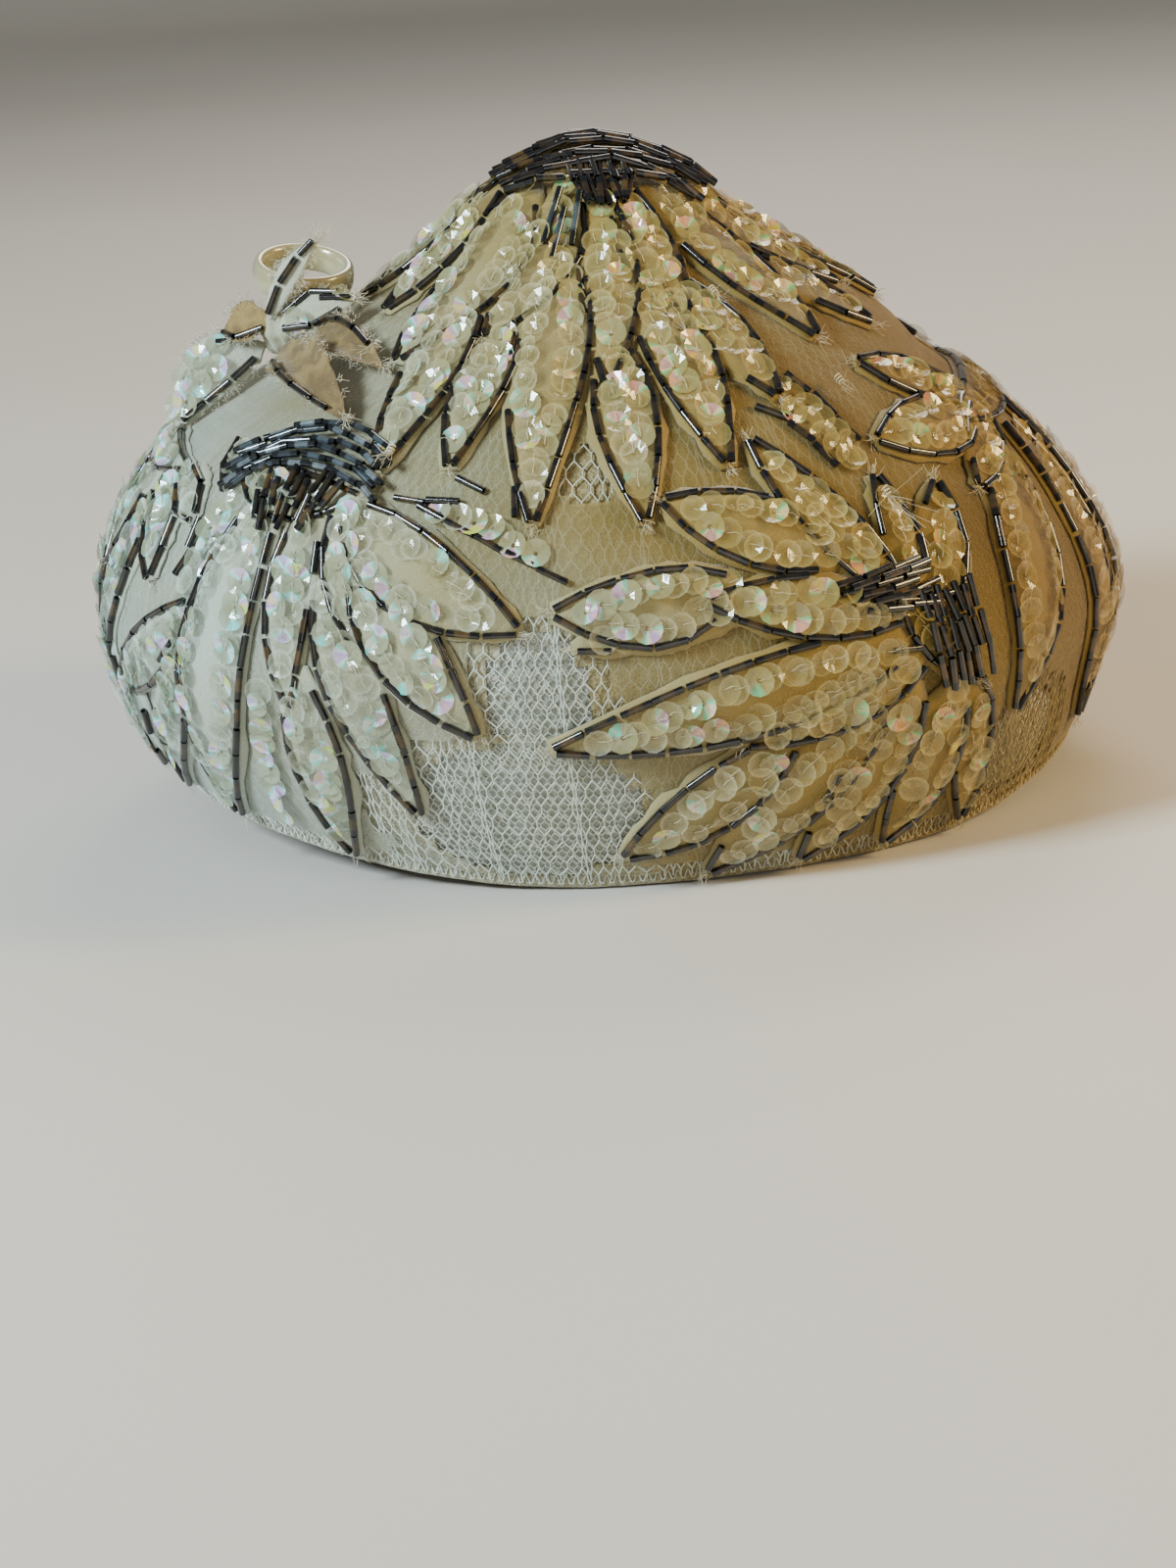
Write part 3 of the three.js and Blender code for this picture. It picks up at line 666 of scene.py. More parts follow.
def add_floor():
    depth = 2.4
    curve = 0.5
    profile = [(-2.0, 0.0), (depth - curve, 0.0)]
    for i in range(1, 13):
        angle = math.pi / 2 * i / 12
        profile.append((depth - curve + curve * math.sin(angle), curve - curve * math.cos(angle)))
    profile.append((depth, 2.6))
    verts = [(x, y, z - 0.0003) for y, z in profile for x in (-3.0, 3.0)]
    faces = [(2 * i, 2 * i + 1, 2 * i + 3, 2 * i + 2) for i in range(len(profile) - 1)]
    mesh = bpy.data.meshes.new("floor")
    mesh.from_pydata(verts, [], faces)
    for polygon in mesh.polygons:
        polygon.use_smooth = True
    material, tree, shader = new_material("floor_paint", 0.7)
    place = tree.nodes.new("ShaderNodeTexCoord").outputs["Object"]
    noise = add_node(tree, "ShaderNodeTexNoise", Scale=3.0, Detail=2.0)
    tree.links.new(place, noise.inputs["Vector"])
    tone = add_ramp(tree, [(0.3, (0.56, 0.51, 0.45)), (0.7, (0.60, 0.55, 0.49))], noise.outputs["Fac"])
    tree.links.new(tone, shader.inputs["Base Color"])
    mesh.materials.append(material)
    floor = bpy.data.objects.new("floor", mesh)
    bpy.context.scene.collection.objects.link(floor)


add_camera()
add_floor()
add_light("key", (-0.98, -0.58, 0.78), (0, 0, 0.06), 0.34, 34.0, (0.74, 0.91, 1.0))
add_light("warm", (0.85, -0.15, 0.45), (0, 0, 0.07), 0.28, 10.0, (1.0, 0.74, 0.34))
add_light("fill", (0.1, -1.2, 0.35), (0, 0, 0.07), 0.7, 2.0, (1.0, 0.97, 0.92))
add_light("back", (0.2, 0.9, 0.9), (0, 0, 0.07), 0.6, 7.0, (1.0, 0.93, 0.85))
world = bpy.data.worlds.new("studio")
world.use_nodes = True
world.node_tree.nodes["Background"].inputs["Color"].default_value = (0.78, 0.79, 0.79, 1.0)
world.node_tree.nodes["Background"].inputs["Strength"].default_value = 0.26
bpy.context.scene.world = world


# Net

# Bare patches, ovals: azimuth and way of the middle, and half their spread in both
BARE_PATCHES = [(77.0, 0.1, 13.0, 0.09), (80.0, 0.25, 5.5, 0.075), (143.0, 0.08, 9.0, 0.06)]
# Where the coarse net has no sheer cloth over it, as ovals in the same way
UNCOVERED = [
    (75.0, 0.1, 17.0, 0.11),
    (80.0, 0.25, 8.0, 0.09),
    (86.5, 0.5, 4.0, 0.035),
    (143.0, 0.08, 11.0, 0.08),
]
LINING_LIFT = -0.75
LINING_WALL = 0.6


def in_patch(azimuth, way):
    angle = from_front(azimuth)
    found = np.zeros(np.shape(angle), bool)
    for middle, height, spread, way_spread in BARE_PATCHES:
        found |= ((angle - middle) / spread) ** 2 + ((way - height) / way_spread) ** 2 < 1
    return found


def add_lining():
    columns, rows = 240, 100
    azimuth = np.arange(columns) * 360.0 / columns
    way = np.concatenate([np.linspace(0.012, 0.97, rows - 4), [0.978, 0.986, 0.993, 0.998]])
    a, w = np.meshgrid(azimuth, way)
    parts = []
    for lift, turned in ((LINING_LIFT, False), (LINING_LIFT - LINING_WALL, True)):
        ripple = 0.18 * np.sin(np.radians(a * 37) + w * 40) * np.sin(w * 150)
        parts.append((lifted(a, w, lift + ripple), turned))
    centre_a = (azimuth + 180.0 / columns)[None, :]
    centre_w = ((way[:-1] + way[1:]) / 2)[:, None]
    keep = ~in_patch(*np.broadcast_arrays(centre_a, centre_w)).ravel()
    verts = np.concatenate([p.reshape(-1, 3) for p, _ in parts])
    count = rows * columns
    top = np.arange(columns) + count - columns
    outer = grid_faces(rows, columns, wrap=True)[keep]
    inner = grid_faces(rows, columns, wrap=True, start=count, turned=True)[keep]
    piece = add_piece("net_lining", verts, [outer, inner, top[None, :]], lining_cloth)
    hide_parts("net_crown")


def hexagon_edges(columns, way_low, way_high, row_pitch, azimuth_low=0.0, azimuth_high=360.0, squeeze=0.0):
    """Ends of the strands of a brick-laid six-sided net, as azimuth and way."""
    closed = azimuth_high - azimuth_low >= 360.0
    pitch = (azimuth_high - azimuth_low) / columns
    rows = int((way_high - way_low) / row_pitch)
    j = np.arange(columns)
    ends = []

    def spot(index, way):
        u = azimuth_low + pitch * index
        wave = squeeze * np.sin(np.radians(u * 32 + way * 260)) + 0.5 * squeeze * np.sin(np.radians(u * 76))
        return np.stack([u + wave, np.broadcast_to(way, np.shape(u))], axis=-1)

    for r in range(rows):
        shift = 0.5 * (r % 2)
        low = way_low + row_pitch * r
        high = low + 0.42 * row_pitch
        following = low + row_pitch
        ends.append((spot(j + shift, low), spot(j + shift, high)))
        if r < rows - 1:
            for side in (-0.5, 0.5):
                ends.append((spot(j + shift, high), spot(j + shift + side, following)))
    start = np.concatenate([e[0] for e in ends])
    end = np.concatenate([e[1] for e in ends])
    if not closed:
        keep = (start[:, 0] >= azimuth_low) & (end[:, 0] <= azimuth_high)
        start, end = start[keep], end[keep]
    return start, end


def strands(start, end, lift, radius):
    paths = np.stack([lifted(start[:, 0], start[:, 1], lift), lifted(end[:, 0], end[:, 1], lift)], axis=1)
    normal = net_frame(start[:, 0], start[:, 1])[2][:, None, :]
    return tubes(paths, radius, 3, hint=np.repeat(normal, 2, axis=1))


def add_net():
    skirt = strands(*hexagon_edges(284, 0.012, 0.585, 0.0195, squeeze=0.7), 0.0, STRAND_RADIUS)
    dome = strands(*hexagon_edges(184, 0.58, 0.78, 0.0205, squeeze=0.6), 0.0, STRAND_RADIUS)
    top = strands(*hexagon_edges(92, 0.775, 0.96, 0.0205, squeeze=0.0), 0.0, STRAND_RADIUS)
    piece = add_piece("net_strands", *join([skirt, dome, top]), net_thread)


def add_cover():
    """Sheer cloth over the coarse net, left out where the net is bare."""
    columns, rows = 300, 90
    azimuth = np.arange(columns) * 360.0 / columns
    way = np.linspace(0.03, 0.955, rows)
    a, w = np.meshgrid(azimuth, way)
    ripple = 0.05 * np.sin(np.radians(a * 29) + w * 60) * np.sin(w * 90)
    centre = np.broadcast_arrays((azimuth + 180.0 / columns)[None, :], ((way[:-1] + way[1:]) / 2)[:, None])
    angle = from_front(centre[0])
    keep = np.ones(angle.shape, bool)
    for middle, height, spread, way_spread in UNCOVERED:
        reach = ((angle - middle) / spread) ** 2 + ((centre[1] - height) / way_spread) ** 2
        keep &= reach > 1 + 0.15 * np.sin(np.radians(angle * 40)) * np.cos(centre[1] * 120)
    faces = grid_faces(rows, columns, wrap=True)[keep.ravel()]
    piece = add_piece("net_cover", lifted(a, w, 0.27 + ripple), [faces], cover_cloth)


def add_inner_net():
    """A finer net and a sheer one behind the bare patches of the coarse net."""
    parts = []
    sheets = []
    for middle, height, spread, way_spread in BARE_PATCHES:
        bottom = max(0.012, height - way_spread - 0.01)
        top = height + way_spread + 0.01
        for turn in (middle, 360 - middle):
            first, last = turn - spread - 1.5, turn + spread + 1.5
            columns = int((last - first) * 1.1)
            start, end = hexagon_edges(columns, bottom, top, 0.0082, first, last)
            parts.append(strands(start, end, LINING_LIFT - 0.4, 0.17))
            a, w = np.meshgrid(np.linspace(first, last, 24), np.linspace(bottom, top, 20))
            sheet = lifted(a, w, LINING_LIFT - 0.8 + 0.15 * np.sin(a * 1.3) * np.sin(w * 90))
            sheets.append((sheet, [grid_faces(20, 24)]))
    piece = add_piece("net_inner", *join(parts), net_thread)
    piece = add_piece("net_sheer", *join(sheets), sheer_cloth)


def add_hem():
    """Folded edge with small loops along its foot."""
    steps = 360
    azimuth = np.arange(steps) * 360.0 / steps
    base = net_point(azimuth, 0.0)
    outward = net_frame(azimuth, 0.01)[2]
    outward[:, 2] = 0
    outward = unit(outward)
    rise = rim_rise(azimuth)
    wobble = 0.12 * np.sin(np.radians(azimuth * 31)) + 0.08 * np.sin(np.radians(azimuth * 83))
    profile = [
        (0.15, 0.5), (0.35, 1.2), (0.3, 2.2), (0.0, 2.9), (-0.6, 3.1),
        (-1.3, 2.7), (-1.7, 1.8), (-1.6, 0.8), (-0.9, 0.2), (-0.3, 0.15),
    ]
    rings = []
    for out, height in profile:
        p = base + outward * (out + wobble)[:, None]
        p[:, 2] = rise + height
        rings.append(p)
    verts = np.stack(rings, axis=1)
    faces = grid_faces(steps, len(profile), wrap=True)
    close = grid_faces(2, len(profile), wrap=True)
    close = np.where(close >= len(profile), close - len(profile), close + (steps - 1) * len(profile))
    piece = add_piece("hem_band", verts, [faces[:, ::-1], close[:, ::-1]], lining_cloth)
    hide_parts("net_hem")
    loops = 300
    a = np.arange(loops) * 360.0 / loops
    paths = []
    for t in np.linspace(0, 1, 6):
        turn = a + t * 360.0 / loops * 1.25
        p = net_point(turn, 0.0)
        o = net_frame(turn, 0.01)[2]
        o[:, 2] = 0
        o = unit(o)
        p = p + o * (0.25 + 0.45 * math.sin(math.pi * t))
        p[:, 2] = rim_rise(turn) + 0.35 + 2.9 * abs(math.cos(math.pi * t))
        paths.append(p)
    piece = add_piece("hem_stitches", *tubes(np.stack(paths, axis=1), 0.16, 4), net_thread)


# Leaves


def leaf_half(share, width):
    return np.maximum(0.5, width / 2 * np.power(np.sin(np.pi * np.power(share, 0.9)).clip(0), 0.75))


def mirrored(row):
    a, w, b, v, width, bend, _ = row
    return (360 - a, w, 360 - b, v, width, -bend, False)


def leaf_spot(row, share, offset):
    """Azimuth and way of a point on a leaf, offset millimetres to one side of its middle."""
    a0, w0, a1, w1, _, bend, _ = row
    share, offset = np.broadcast_arrays(np.asarray(share, float), np.asarray(offset, float))
    azimuth = a0 + (a1 - a0) * share
    way = w0 + (w1 - w0) * share
    around, up, normal = net_frame(azimuth, way)
    along = unit(around * (a1 - a0) + up * (w1 - w0))
    across = np.cross(normal, along)
    side = offset + bend * np.sin(np.pi * share)
    da = (across * around).sum(-1) * side / (around * around).sum(-1)
    dw = (across * up).sum(-1) * side / (up * up).sum(-1)
    return azimuth + da, way + dw


def leaf_length(row):
    middle = lifted(*leaf_spot(row, np.linspace(0, 1, 12), 0.0), 1.0)
    return np.linalg.norm(np.diff(middle, axis=0), axis=1).sum()


LEAF_LOW = 0.45
BEAD_LIFT = 1.45
# How far in from the edge of an earlier leaf a bead or sequin may still lie
LEAF_SLACK = 2.6


def leaf_height(row, share, q, rise=0.085):
    """Lift of the leaf's cloth: a soft dome, highest along the middle."""
    swell = np.power(np.clip(1 - q * q, 0, 1), 0.7) * (0.35 + 0.65 * np.sin(np.pi * np.clip(share, 0, 1)))
    return LEAF_LOW + rise * row[4] * swell


def leaf_cloth(row, lift):
    steps = 15
    across = 9
    share = np.linspace(0, 1, steps)
    q = np.linspace(-1, 1, across)
    s, v = np.meshgrid(share, q, indexing="ij")
    margin = 1.3 + 0.4 * rng.standard_normal((steps, 1)) * (np.abs(v) > 0.99)
    offset = v * (leaf_half(s, row[4]) + margin)
    azimuth, way = leaf_spot(row, s, offset)
    crease = 0.12 * rng.standard_normal(s.shape) * (1 - np.abs(v))
    top = lifted(azimuth, way, lift + leaf_height(row, s, v) + crease)
    below = lifted(azimuth, way, np.full(s.shape, lift + 0.1))
    verts = np.concatenate([top.reshape(-1, 3), below.reshape(-1, 3)])
    count = steps * across
    faces = [grid_faces(steps, across), grid_faces(steps, across, start=count, turned=True)]
    ring = np.concatenate([
        np.arange(across),
        np.arange(1, steps) * across + across - 1,
        (steps - 1) * across + np.arange(across - 2, -1, -1),
        np.arange(steps - 2, 0, -1) * across,
    ])
    following = np.roll(ring, -1)
    faces.append(np.stack([ring, ring + count, following + count, following], axis=1))
    return verts, faces


class Placed:
    """Where leaves and beads already lie, so that later ones keep clear of them."""

    def __init__(self):
        self.leaf_points = np.zeros((0, 3))
        self.leaf_halves = np.zeros(0)
        self.bead_points = np.zeros((0, 3))

    def add_leaf(self, row):
        share = np.linspace(0.05, 0.95, 16)
        points = lifted(*leaf_spot(row, share, 0.0), 1.0)
        self.leaf_points = np.concatenate([self.leaf_points, points])
        self.leaf_halves = np.concatenate([self.leaf_halves, leaf_half(share, row[4])])

    def under_leaf(self, points, slack):
        if not len(self.leaf_points):
            return np.zeros(len(points), bool)
        apart = np.linalg.norm(points[:, None, :] - self.leaf_points[None], axis=-1)
        return (apart < self.leaf_halves[None] - slack).any(axis=1)

    def near_bead(self, samples, least):
        if not len(self.bead_points):
            return False
        apart = np.linalg.norm(samples[:, None, :] - self.bead_points[None], axis=-1)
        return apart.min() < least

    def add_bead(self, samples):
        self.bead_points = np.concatenate([self.bead_points, samples])


placed = Placed()


def path_ends(path, gone, first, last):
    """The points at two lengths along a path."""
    return [np.array([np.interp(at, gone, path[:, k]) for k in range(3)]) for at in (first, last)]


def bead_samples(start, end):
    return start + (end - start) * np.linspace(0.1, 0.9, 5)[:, None]


def edge_beads(row, side, lift):
    """Bugles laid end to end along one edge of a leaf, from its tip back to its base."""
    share = np.linspace(0.995, 0.03, 80)
    half = leaf_half(share, row[4])
    azimuth, way = leaf_spot(row, share, side * np.maximum(half - 0.2, 0.75))
    path = lifted(azimuth, way, lift + BEAD_LIFT)
    steps = np.linalg.norm(np.diff(path, axis=0), axis=1)
    gone = np.concatenate([[0], np.cumsum(steps)])
    beads = []
    at = 0.2 + 0.8 * rng.random()
    while at + BUGLE_LENGTH < gone[-1]:
        ends = path_ends(path, gone, at, at + BUGLE_LENGTH)
        samples = bead_samples(*ends)
        hidden = placed.under_leaf(samples[2:3], LEAF_SLACK)[0]
        if not hidden and not placed.near_bead(samples, 1.15):
            beads.append(ends)
            placed.add_bead(samples)
        at += BUGLE_PITCH + 0.25 * rng.standard_normal()
    return beads


def bugle_mesh(beads):
    """Hollow tubes between pairs of points."""
    beads = np.asarray(beads, float)
    start = beads[:, 0]
    axis = beads[:, 1] - start
    length = np.linalg.norm(axis, axis=1)
    z = unit(axis)
    helper = np.where(np.abs(z[:, 2:3]) > 0.9, [1.0, 0, 0], [0, 0, 1.0])
    x = unit(np.cross(helper, z))
    y = np.cross(z, x)
    angle = 2 * np.pi * np.arange(BUGLE_SIDES) / BUGLE_SIDES
    circle = np.stack([np.cos(angle), np.sin(angle), np.zeros(BUGLE_SIDES)], axis=1)
    hole = 0.45
    bands = [
        [(0.0, 1.0), (0.22, 1.0), (0.3, 1.0), (0.7, 1.0), (0.78, 1.0), (1.0, 1.0)],
        [(1.0, 1.0), (1.0, hole)],
        [(1.0, hole), (0.0, hole)],
        [(0.0, hole), (0.0, 1.0)],
    ]
    template = np.concatenate([
        circle * [wide, wide, 0] + [0, 0, at] for band in bands for at, wide in band])
    k = np.arange(BUGLE_SIDES)
    following = (k + 1) % BUGLE_SIDES
    faces = []
    first = 0
    for band in bands:
        for i in range(len(band) - 1):
            a = (first + i) * BUGLE_SIDES
            b = a + BUGLE_SIDES
            faces.append(np.stack([a + k, a + following, b + following, b + k], axis=1))
        first += len(band)
    size = BUGLE_RADIUS * (1 + 0.06 * rng.standard_normal(len(beads)))
    axes = np.stack([x * size[:, None], y * size[:, None], z * length[:, None]], axis=1)
    verts, blocks = stamp(template, faces, axes, start)
    lit = [1.0 if 0.25 < at < 0.75 else 0.0 for band in bands for at, _ in band]
    middle = np.repeat(lit, BUGLE_SIDES)
    attributes = {
        "middle": np.tile(middle, len(beads)),
        "tint": np.repeat(rng.random(len(beads)), len(template)),
    }
    return verts, blocks, attributes


def add_bugles(name, beads, material=None):
    verts, blocks, attributes = bugle_mesh(beads)
    piece = add_piece(name, verts, blocks, material or bugle_glass, attributes=attributes)
    return piece


def sequin_spots(row, lift):
    """Places, axes and threads of the sequins on one leaf."""
    length = leaf_length(row)
    count = max(2, int((length - 5.0) / SEQUIN_PITCH))
    found = []
    for i in range(count):
        share = (3.0 + (length - 6.0) * i / max(1, count - 1)) / length
        half = float(leaf_half(share, row[4]))
        room = 2 * half - 2 * SEQUIN_RADIUS - 1.6
        if half < 2.7:
            continue
        columns = 2 if room > 2.6 else 1
        for j in range(columns):
            offset = 0.0 if columns == 1 else (j - 0.5) * room
            stagger = (0.5 if (i + j) % 2 else -0.5) * 1.1 / length
            found.append((share + stagger + 0.35 * rng.standard_normal() / length,
                          offset + 0.3 * rng.standard_normal()))
    if not found:
        return np.zeros((0, 3)), np.zeros((0, 3)), np.zeros((0, 3))
    found = np.array(found)
    share = np.clip(found[:, 0], 0.02, 0.99)
    offset = found[:, 1]
    q = offset / (leaf_half(share, row[4]) + 0.8)
    azimuth, way = leaf_spot(row, share, offset)
    height = lift + leaf_height(row, share, q) + 0.5
    centre = lifted(azimuth, way, height)
    ahead = lifted(*leaf_spot(row, share + 0.01, offset), height)
    normal = net_frame(azimuth, way)[2]
    along = unit(ahead - centre)
    across = unit(np.cross(normal, along))
    slope = q * 0.5 + 0.2 * rng.standard_normal(len(q))
    shingle = 0.16 + 0.16 * rng.standard_normal(len(q))
    tilted = unit(normal + across * slope[:, None] + along * shingle[:, None])
    keep = ~placed.under_leaf(centre, LEAF_SLACK)
    return centre[keep], tilted[keep], along[keep]


def sequin_mesh(centre, normal, along):
    """Cupped sequins with six facets and a hole in the middle."""
    sides = 12
    angle = 2 * np.pi * np.arange(sides) / sides
    circle = np.stack([np.cos(angle), np.sin(angle)], axis=1)
    facet = np.where(np.arange(sides) % 2 == 0, 1.0, 0.9)
    rings = [
        np.column_stack([circle * 0.16, np.full(sides, 0.0)]),
        np.column_stack([circle * 0.5 * facet[:, None], np.full(sides, 0.05)]),
        np.column_stack([circle, np.full(sides, 0.24)]),
    ]
    template = np.concatenate(rings)
    faces = [grid_faces(3, sides, wrap=True)]
    count = len(centre)
    z = unit(normal)
    x = unit(along - z * (along * z).sum(1)[:, None])
    spin = rng.random(count) * 2 * np.pi
    y = np.cross(z, x)
    turned_x = x * np.cos(spin)[:, None] + y * np.sin(spin)[:, None]
    turned_y = np.cross(z, turned_x)
    size = SEQUIN_RADIUS * (1 + 0.05 * rng.standard_normal(count))
    axes = np.stack([turned_x * size[:, None], turned_y * size[:, None], z * size[:, None]], axis=1)
    verts, blocks = stamp(template, faces, axes, centre)
    # Painted glint: each film sequin gets one bright sector of film colour, turned at random.
    glint_lobe = 0.5 + 0.5 * np.cos(np.tile(angle, 3)[None] + 2 * np.pi * rng.random((count, 1)))
    # Painted highlight: the tint rises towards each sequin's rim, so the clear sequins get a light glinting
    # edge.
    rim = np.repeat([0.0, 0.1, 1.0], sides)[None]
    tint = 0.3 * rng.random((count, 1)) + 0.6 * rim
    film = 0.18 * rng.random((count, 1)) + (0.5 + 0.4 * rng.random((count, 1))) * glint_lobe ** 2
    return verts, blocks, tint, film


# Share of the sequins with a film of colour at the hat's axis, and how it falls per millimetre back. The
# fall is partly painted highlight: more glinting film sequins on the front, where the cool light falls.
FILM_SHARE = 0.3
FILM_FADE = 0.0025


def add_sequins(name, centre, normal, along, film_share=FILM_SHARE):
    """Most sequins are clear, the rest have a film of colour."""
    filmed = rng.random(len(centre)) < film_share - FILM_FADE * centre[:, 0]
    for word, kept, material in (("clear", ~filmed, clear_sequin), ("film", filmed, film_sequin)):
        if not kept.any():
            continue
        verts, blocks, tint, film = sequin_mesh(centre[kept], normal[kept], along[kept])
        shade = {"tint": film if word == "film" else tint}
        piece = add_piece(f"{name}_{word}", verts, blocks, material, smooth=False, attributes=shade)


def stitch_mesh(centre, normal, along):
    """A thread from each sequin's hole back towards the leaf's base."""
    start = centre + normal * 0.25
    reach = -along * (3.1 + 0.5 * rng.standard_normal((len(centre), 1)))
    sway = unit(np.cross(normal, along)) * (0.22 * rng.standard_normal((len(centre), 1)))
    middle = start + reach * 0.5 + normal * 0.45 + sway
    end = start + reach + normal * 0.1
    return tubes(np.stack([start, middle, end], axis=1), THREAD_RADIUS, 3)


def fuzz_mesh(point, out, normal, count, reach):
    """Frayed fibres at a point."""
    direction = unit(out[None] + 0.55 * rng.standard_normal((count, 3)) + normal[None] * 0.25)
    size = reach * (0.5 + rng.random((count, 1)))
    start = point[None] + 0.5 * rng.standard_normal((count, 3))
    middle = start + direction * size * 0.5 + 0.25 * rng.standard_normal((count, 3))
    end = start + direction * size + 0.5 * rng.standard_normal((count, 3))
    return tubes(np.stack([start, middle, end], axis=1), 0.055, 3)


SPRAY_NODES = {
    "crown": ("spray_crown",),
    "front": ("spray_front_left", "spray_front_right"),
    "side": ("spray_side_left", "spray_side_right"),
    "back": ("spray_back",),
    "brow": ("spray_brow",),
}


def build_spray(name, rows, lifts):
    cloths = []
    beads = []
    sequins = []
    fuzz = []
    for row, lift in zip(rows, lifts):
        cloths.append(leaf_cloth(row, lift))
        for side in (-1, 1):
            beads.extend(edge_beads(row, side, lift))
        spots = sequin_spots(row, lift)
        if len(spots[0]):
            sequins.append(spots)
        tip = lifted(*leaf_spot(row, 1.0, 0.0), 1.2)
        before = lifted(*leaf_spot(row, 0.9, 0.0), 1.2)
        normal = net_frame(np.array(row[2]), np.array(row[3]))[2]
        if not placed.under_leaf(tip[None], 0.5)[0]:
            fuzz.append(fuzz_mesh(tip, unit(tip - before), normal, 18, 2.0))
        placed.add_leaf(row)
    piece = add_piece(name + "_leaves", *join(cloths), organza)
    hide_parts(name)
    add_bugles(name + "_bugles", beads)
    centre, normal, along = (np.concatenate(group) for group in zip(*sequins))
    add_sequins(name + "_sequins", centre, normal, along)
    piece = add_piece(name + "_threads", *join([stitch_mesh(centre, normal, along), *fuzz]), cream_thread)


def add_sprays():
    for key, rows in LEAF_ROWS.items():
        lifts = [0.25 + 0.3 * ((5 * i) % 4) / 3 for i in range(len(rows))]
        both = [(mirrored(row), lift) for row, lift in zip(rows, lifts) if row[6]]
        names = SPRAY_NODES[key]
        if len(names) == 1:
            build_spray(names[0], rows + [row for row, _ in both], lifts + [lift for _, lift in both])
        else:
            build_spray(names[0], rows, lifts)
            build_spray(names[1], [row for row, _ in both], [lift for _, lift in both])


# Pads of close bugles

PAD_LIFT = 3.4


def line_beads(spots, lift, start=0.0, jitter=0.12):
    """Bugles end to end along a line of azimuths and ways."""
    spots = np.asarray(spots, float)
    t = np.linspace(0, 1, 60)
    knots = np.linspace(0, 1, len(spots))
    azimuth = np.interp(t, knots, spots[:, 0])
    way = np.interp(t, knots, spots[:, 1])
    path = lifted(azimuth, way, lift)
    gone = np.concatenate([[0], np.cumsum(np.linalg.norm(np.diff(path, axis=0), axis=1))])
    beads = []
    at = start
    while at + BUGLE_LENGTH * 0.92 < gone[-1]:
        ends = path_ends(path, gone, at, at + BUGLE_LENGTH)
        beads.append([end + jitter * rng.standard_normal(3) for end in ends])
        at += BUGLE_PITCH
    return beads


def flat_path_beads(points, lift):
    """Points over the peak, lifted off the net, from points given by x and y in millimetres."""
    points = np.asarray(points, float)
    reach = np.hypot(points[:, 0], points[:, 1])
    azimuth = np.degrees(np.arctan2(-points[:, 1], -points[:, 0]))
    ways = np.linspace(0.8, 0.999, 200)
    front = section_value(FRONT, ways)
    back = section_value(BACK, ways)
    side = section_value(SIDE, ways)
    placed_points = []
    for r, a in zip(reach, azimuth):
        c = -math.cos(math.radians(a))
        s = -math.sin(math.radians(a))
        size = np.hypot(c * (front if c < 0 else back), s * side)
        way = np.interp(r, size[::-1], ways[::-1])
        placed_points.append(lifted(a, way, lift))
    return np.array(placed_points)


def peak_beads():
    beads = []
    for i in range(-8, 9):
        y = 1.8 * i
        reach = 20.5 - 0.5 * abs(i)
        x = np.linspace(-reach, reach + 4.0, 60)
        sway = 0.9 * np.sin(x * 0.17 + 1.7 * i)
        path = flat_path_beads(np.column_stack([x, y + sway]), PAD_LIFT + 0.7 * (i % 2))
        gone = np.concatenate([[0], np.cumsum(np.linalg.norm(np.diff(path, axis=0), axis=1))])
        at = 3.2 * (i % 2)
        while at + BUGLE_LENGTH < gone[-1]:
            ends = [np.array([np.interp(d, gone, path[:, k]) for k in range(3)])
                    for d in (at, at + BUGLE_LENGTH)]
            beads.append([end + 0.22 * rng.standard_normal(3) for end in ends])
            at += BUGLE_PITCH
    for middle in (97.0, 263.0):
        for j in range(-4, 5):
            shift = 6.5 * j
            low = 0.868 + 0.009 * abs(j)
            beads.extend(line_beads([(middle + shift, 0.962), (middle + shift * 0.25, low)],
                                    PAD_LIFT - 0.2 + 0.5 * (j % 2), jitter=0.35))
    return beads


def peak_drops():
    """Long bugles that lie down both sides from the peak, over the roots of the leaves."""
    beads = []
    for turn in (lambda a: a, lambda a: 360 - a):
        for azimuth, way in ((73.0, 0.93), (77.0, 0.905), (83.0, 0.925)):
            top = lifted(turn(azimuth), way, PAD_LIFT + 0.3)
            beads.append([top, lifted(turn(azimuth - 2), way - 0.075, 2.6)])
    return beads


def front_pad_rows(turn):
    beads = []
    for i in range(6):
        drop = 0.0095 * i
        inset = 0.4 * i
        spots = [(34.0 + inset, 0.508 - drop), (41.0, 0.546 - drop), (48.0, 0.556 - drop),
                 (56.0, 0.542 - drop), (63.0 - inset, 0.512 - drop)]
        beads.extend(line_beads([(turn(a), w) for a, w in spots], PAD_LIFT - 0.6 + 0.3 * (i % 2),
                                start=3.0 * (i % 2), jitter=0.2))
    return beads


def front_pad_columns(turn):
    beads = []
    for j in range(9):
        a = 42.0 + 1.7 * j
        spread = (a - 48.5) * 0.45
        beads.extend(line_beads([(turn(a), 0.505 - 0.006 * (j % 3)), (turn(a - spread), 0.425)],
                                PAD_LIFT - 0.2, start=0.6 * (j % 3), jitter=0.25))
    return beads


def side_pad_beads(turn):
    beads = []
    for i in range(8):
        way = 0.352 - 0.0075 * i
        spots = [(113.5 + 0.55 * i, way - 0.012 + 0.0025 * i), (127.0 + 0.3 * i, way)]
        beads.extend(line_beads([(turn(a), w) for a, w in spots], PAD_LIFT - 0.5 + 0.3 * (i % 2),
                                start=2.6 * (i % 2), jitter=0.25))
    for j in range(7):
        a = 124.0 + 1.2 * j
        beads.extend(line_beads([(turn(a), 0.318), (turn(a + 0.6), 0.195 + 0.008 * (j % 3))],
                                PAD_LIFT, start=1.2 * (j % 2), jitter=0.25))
    return beads


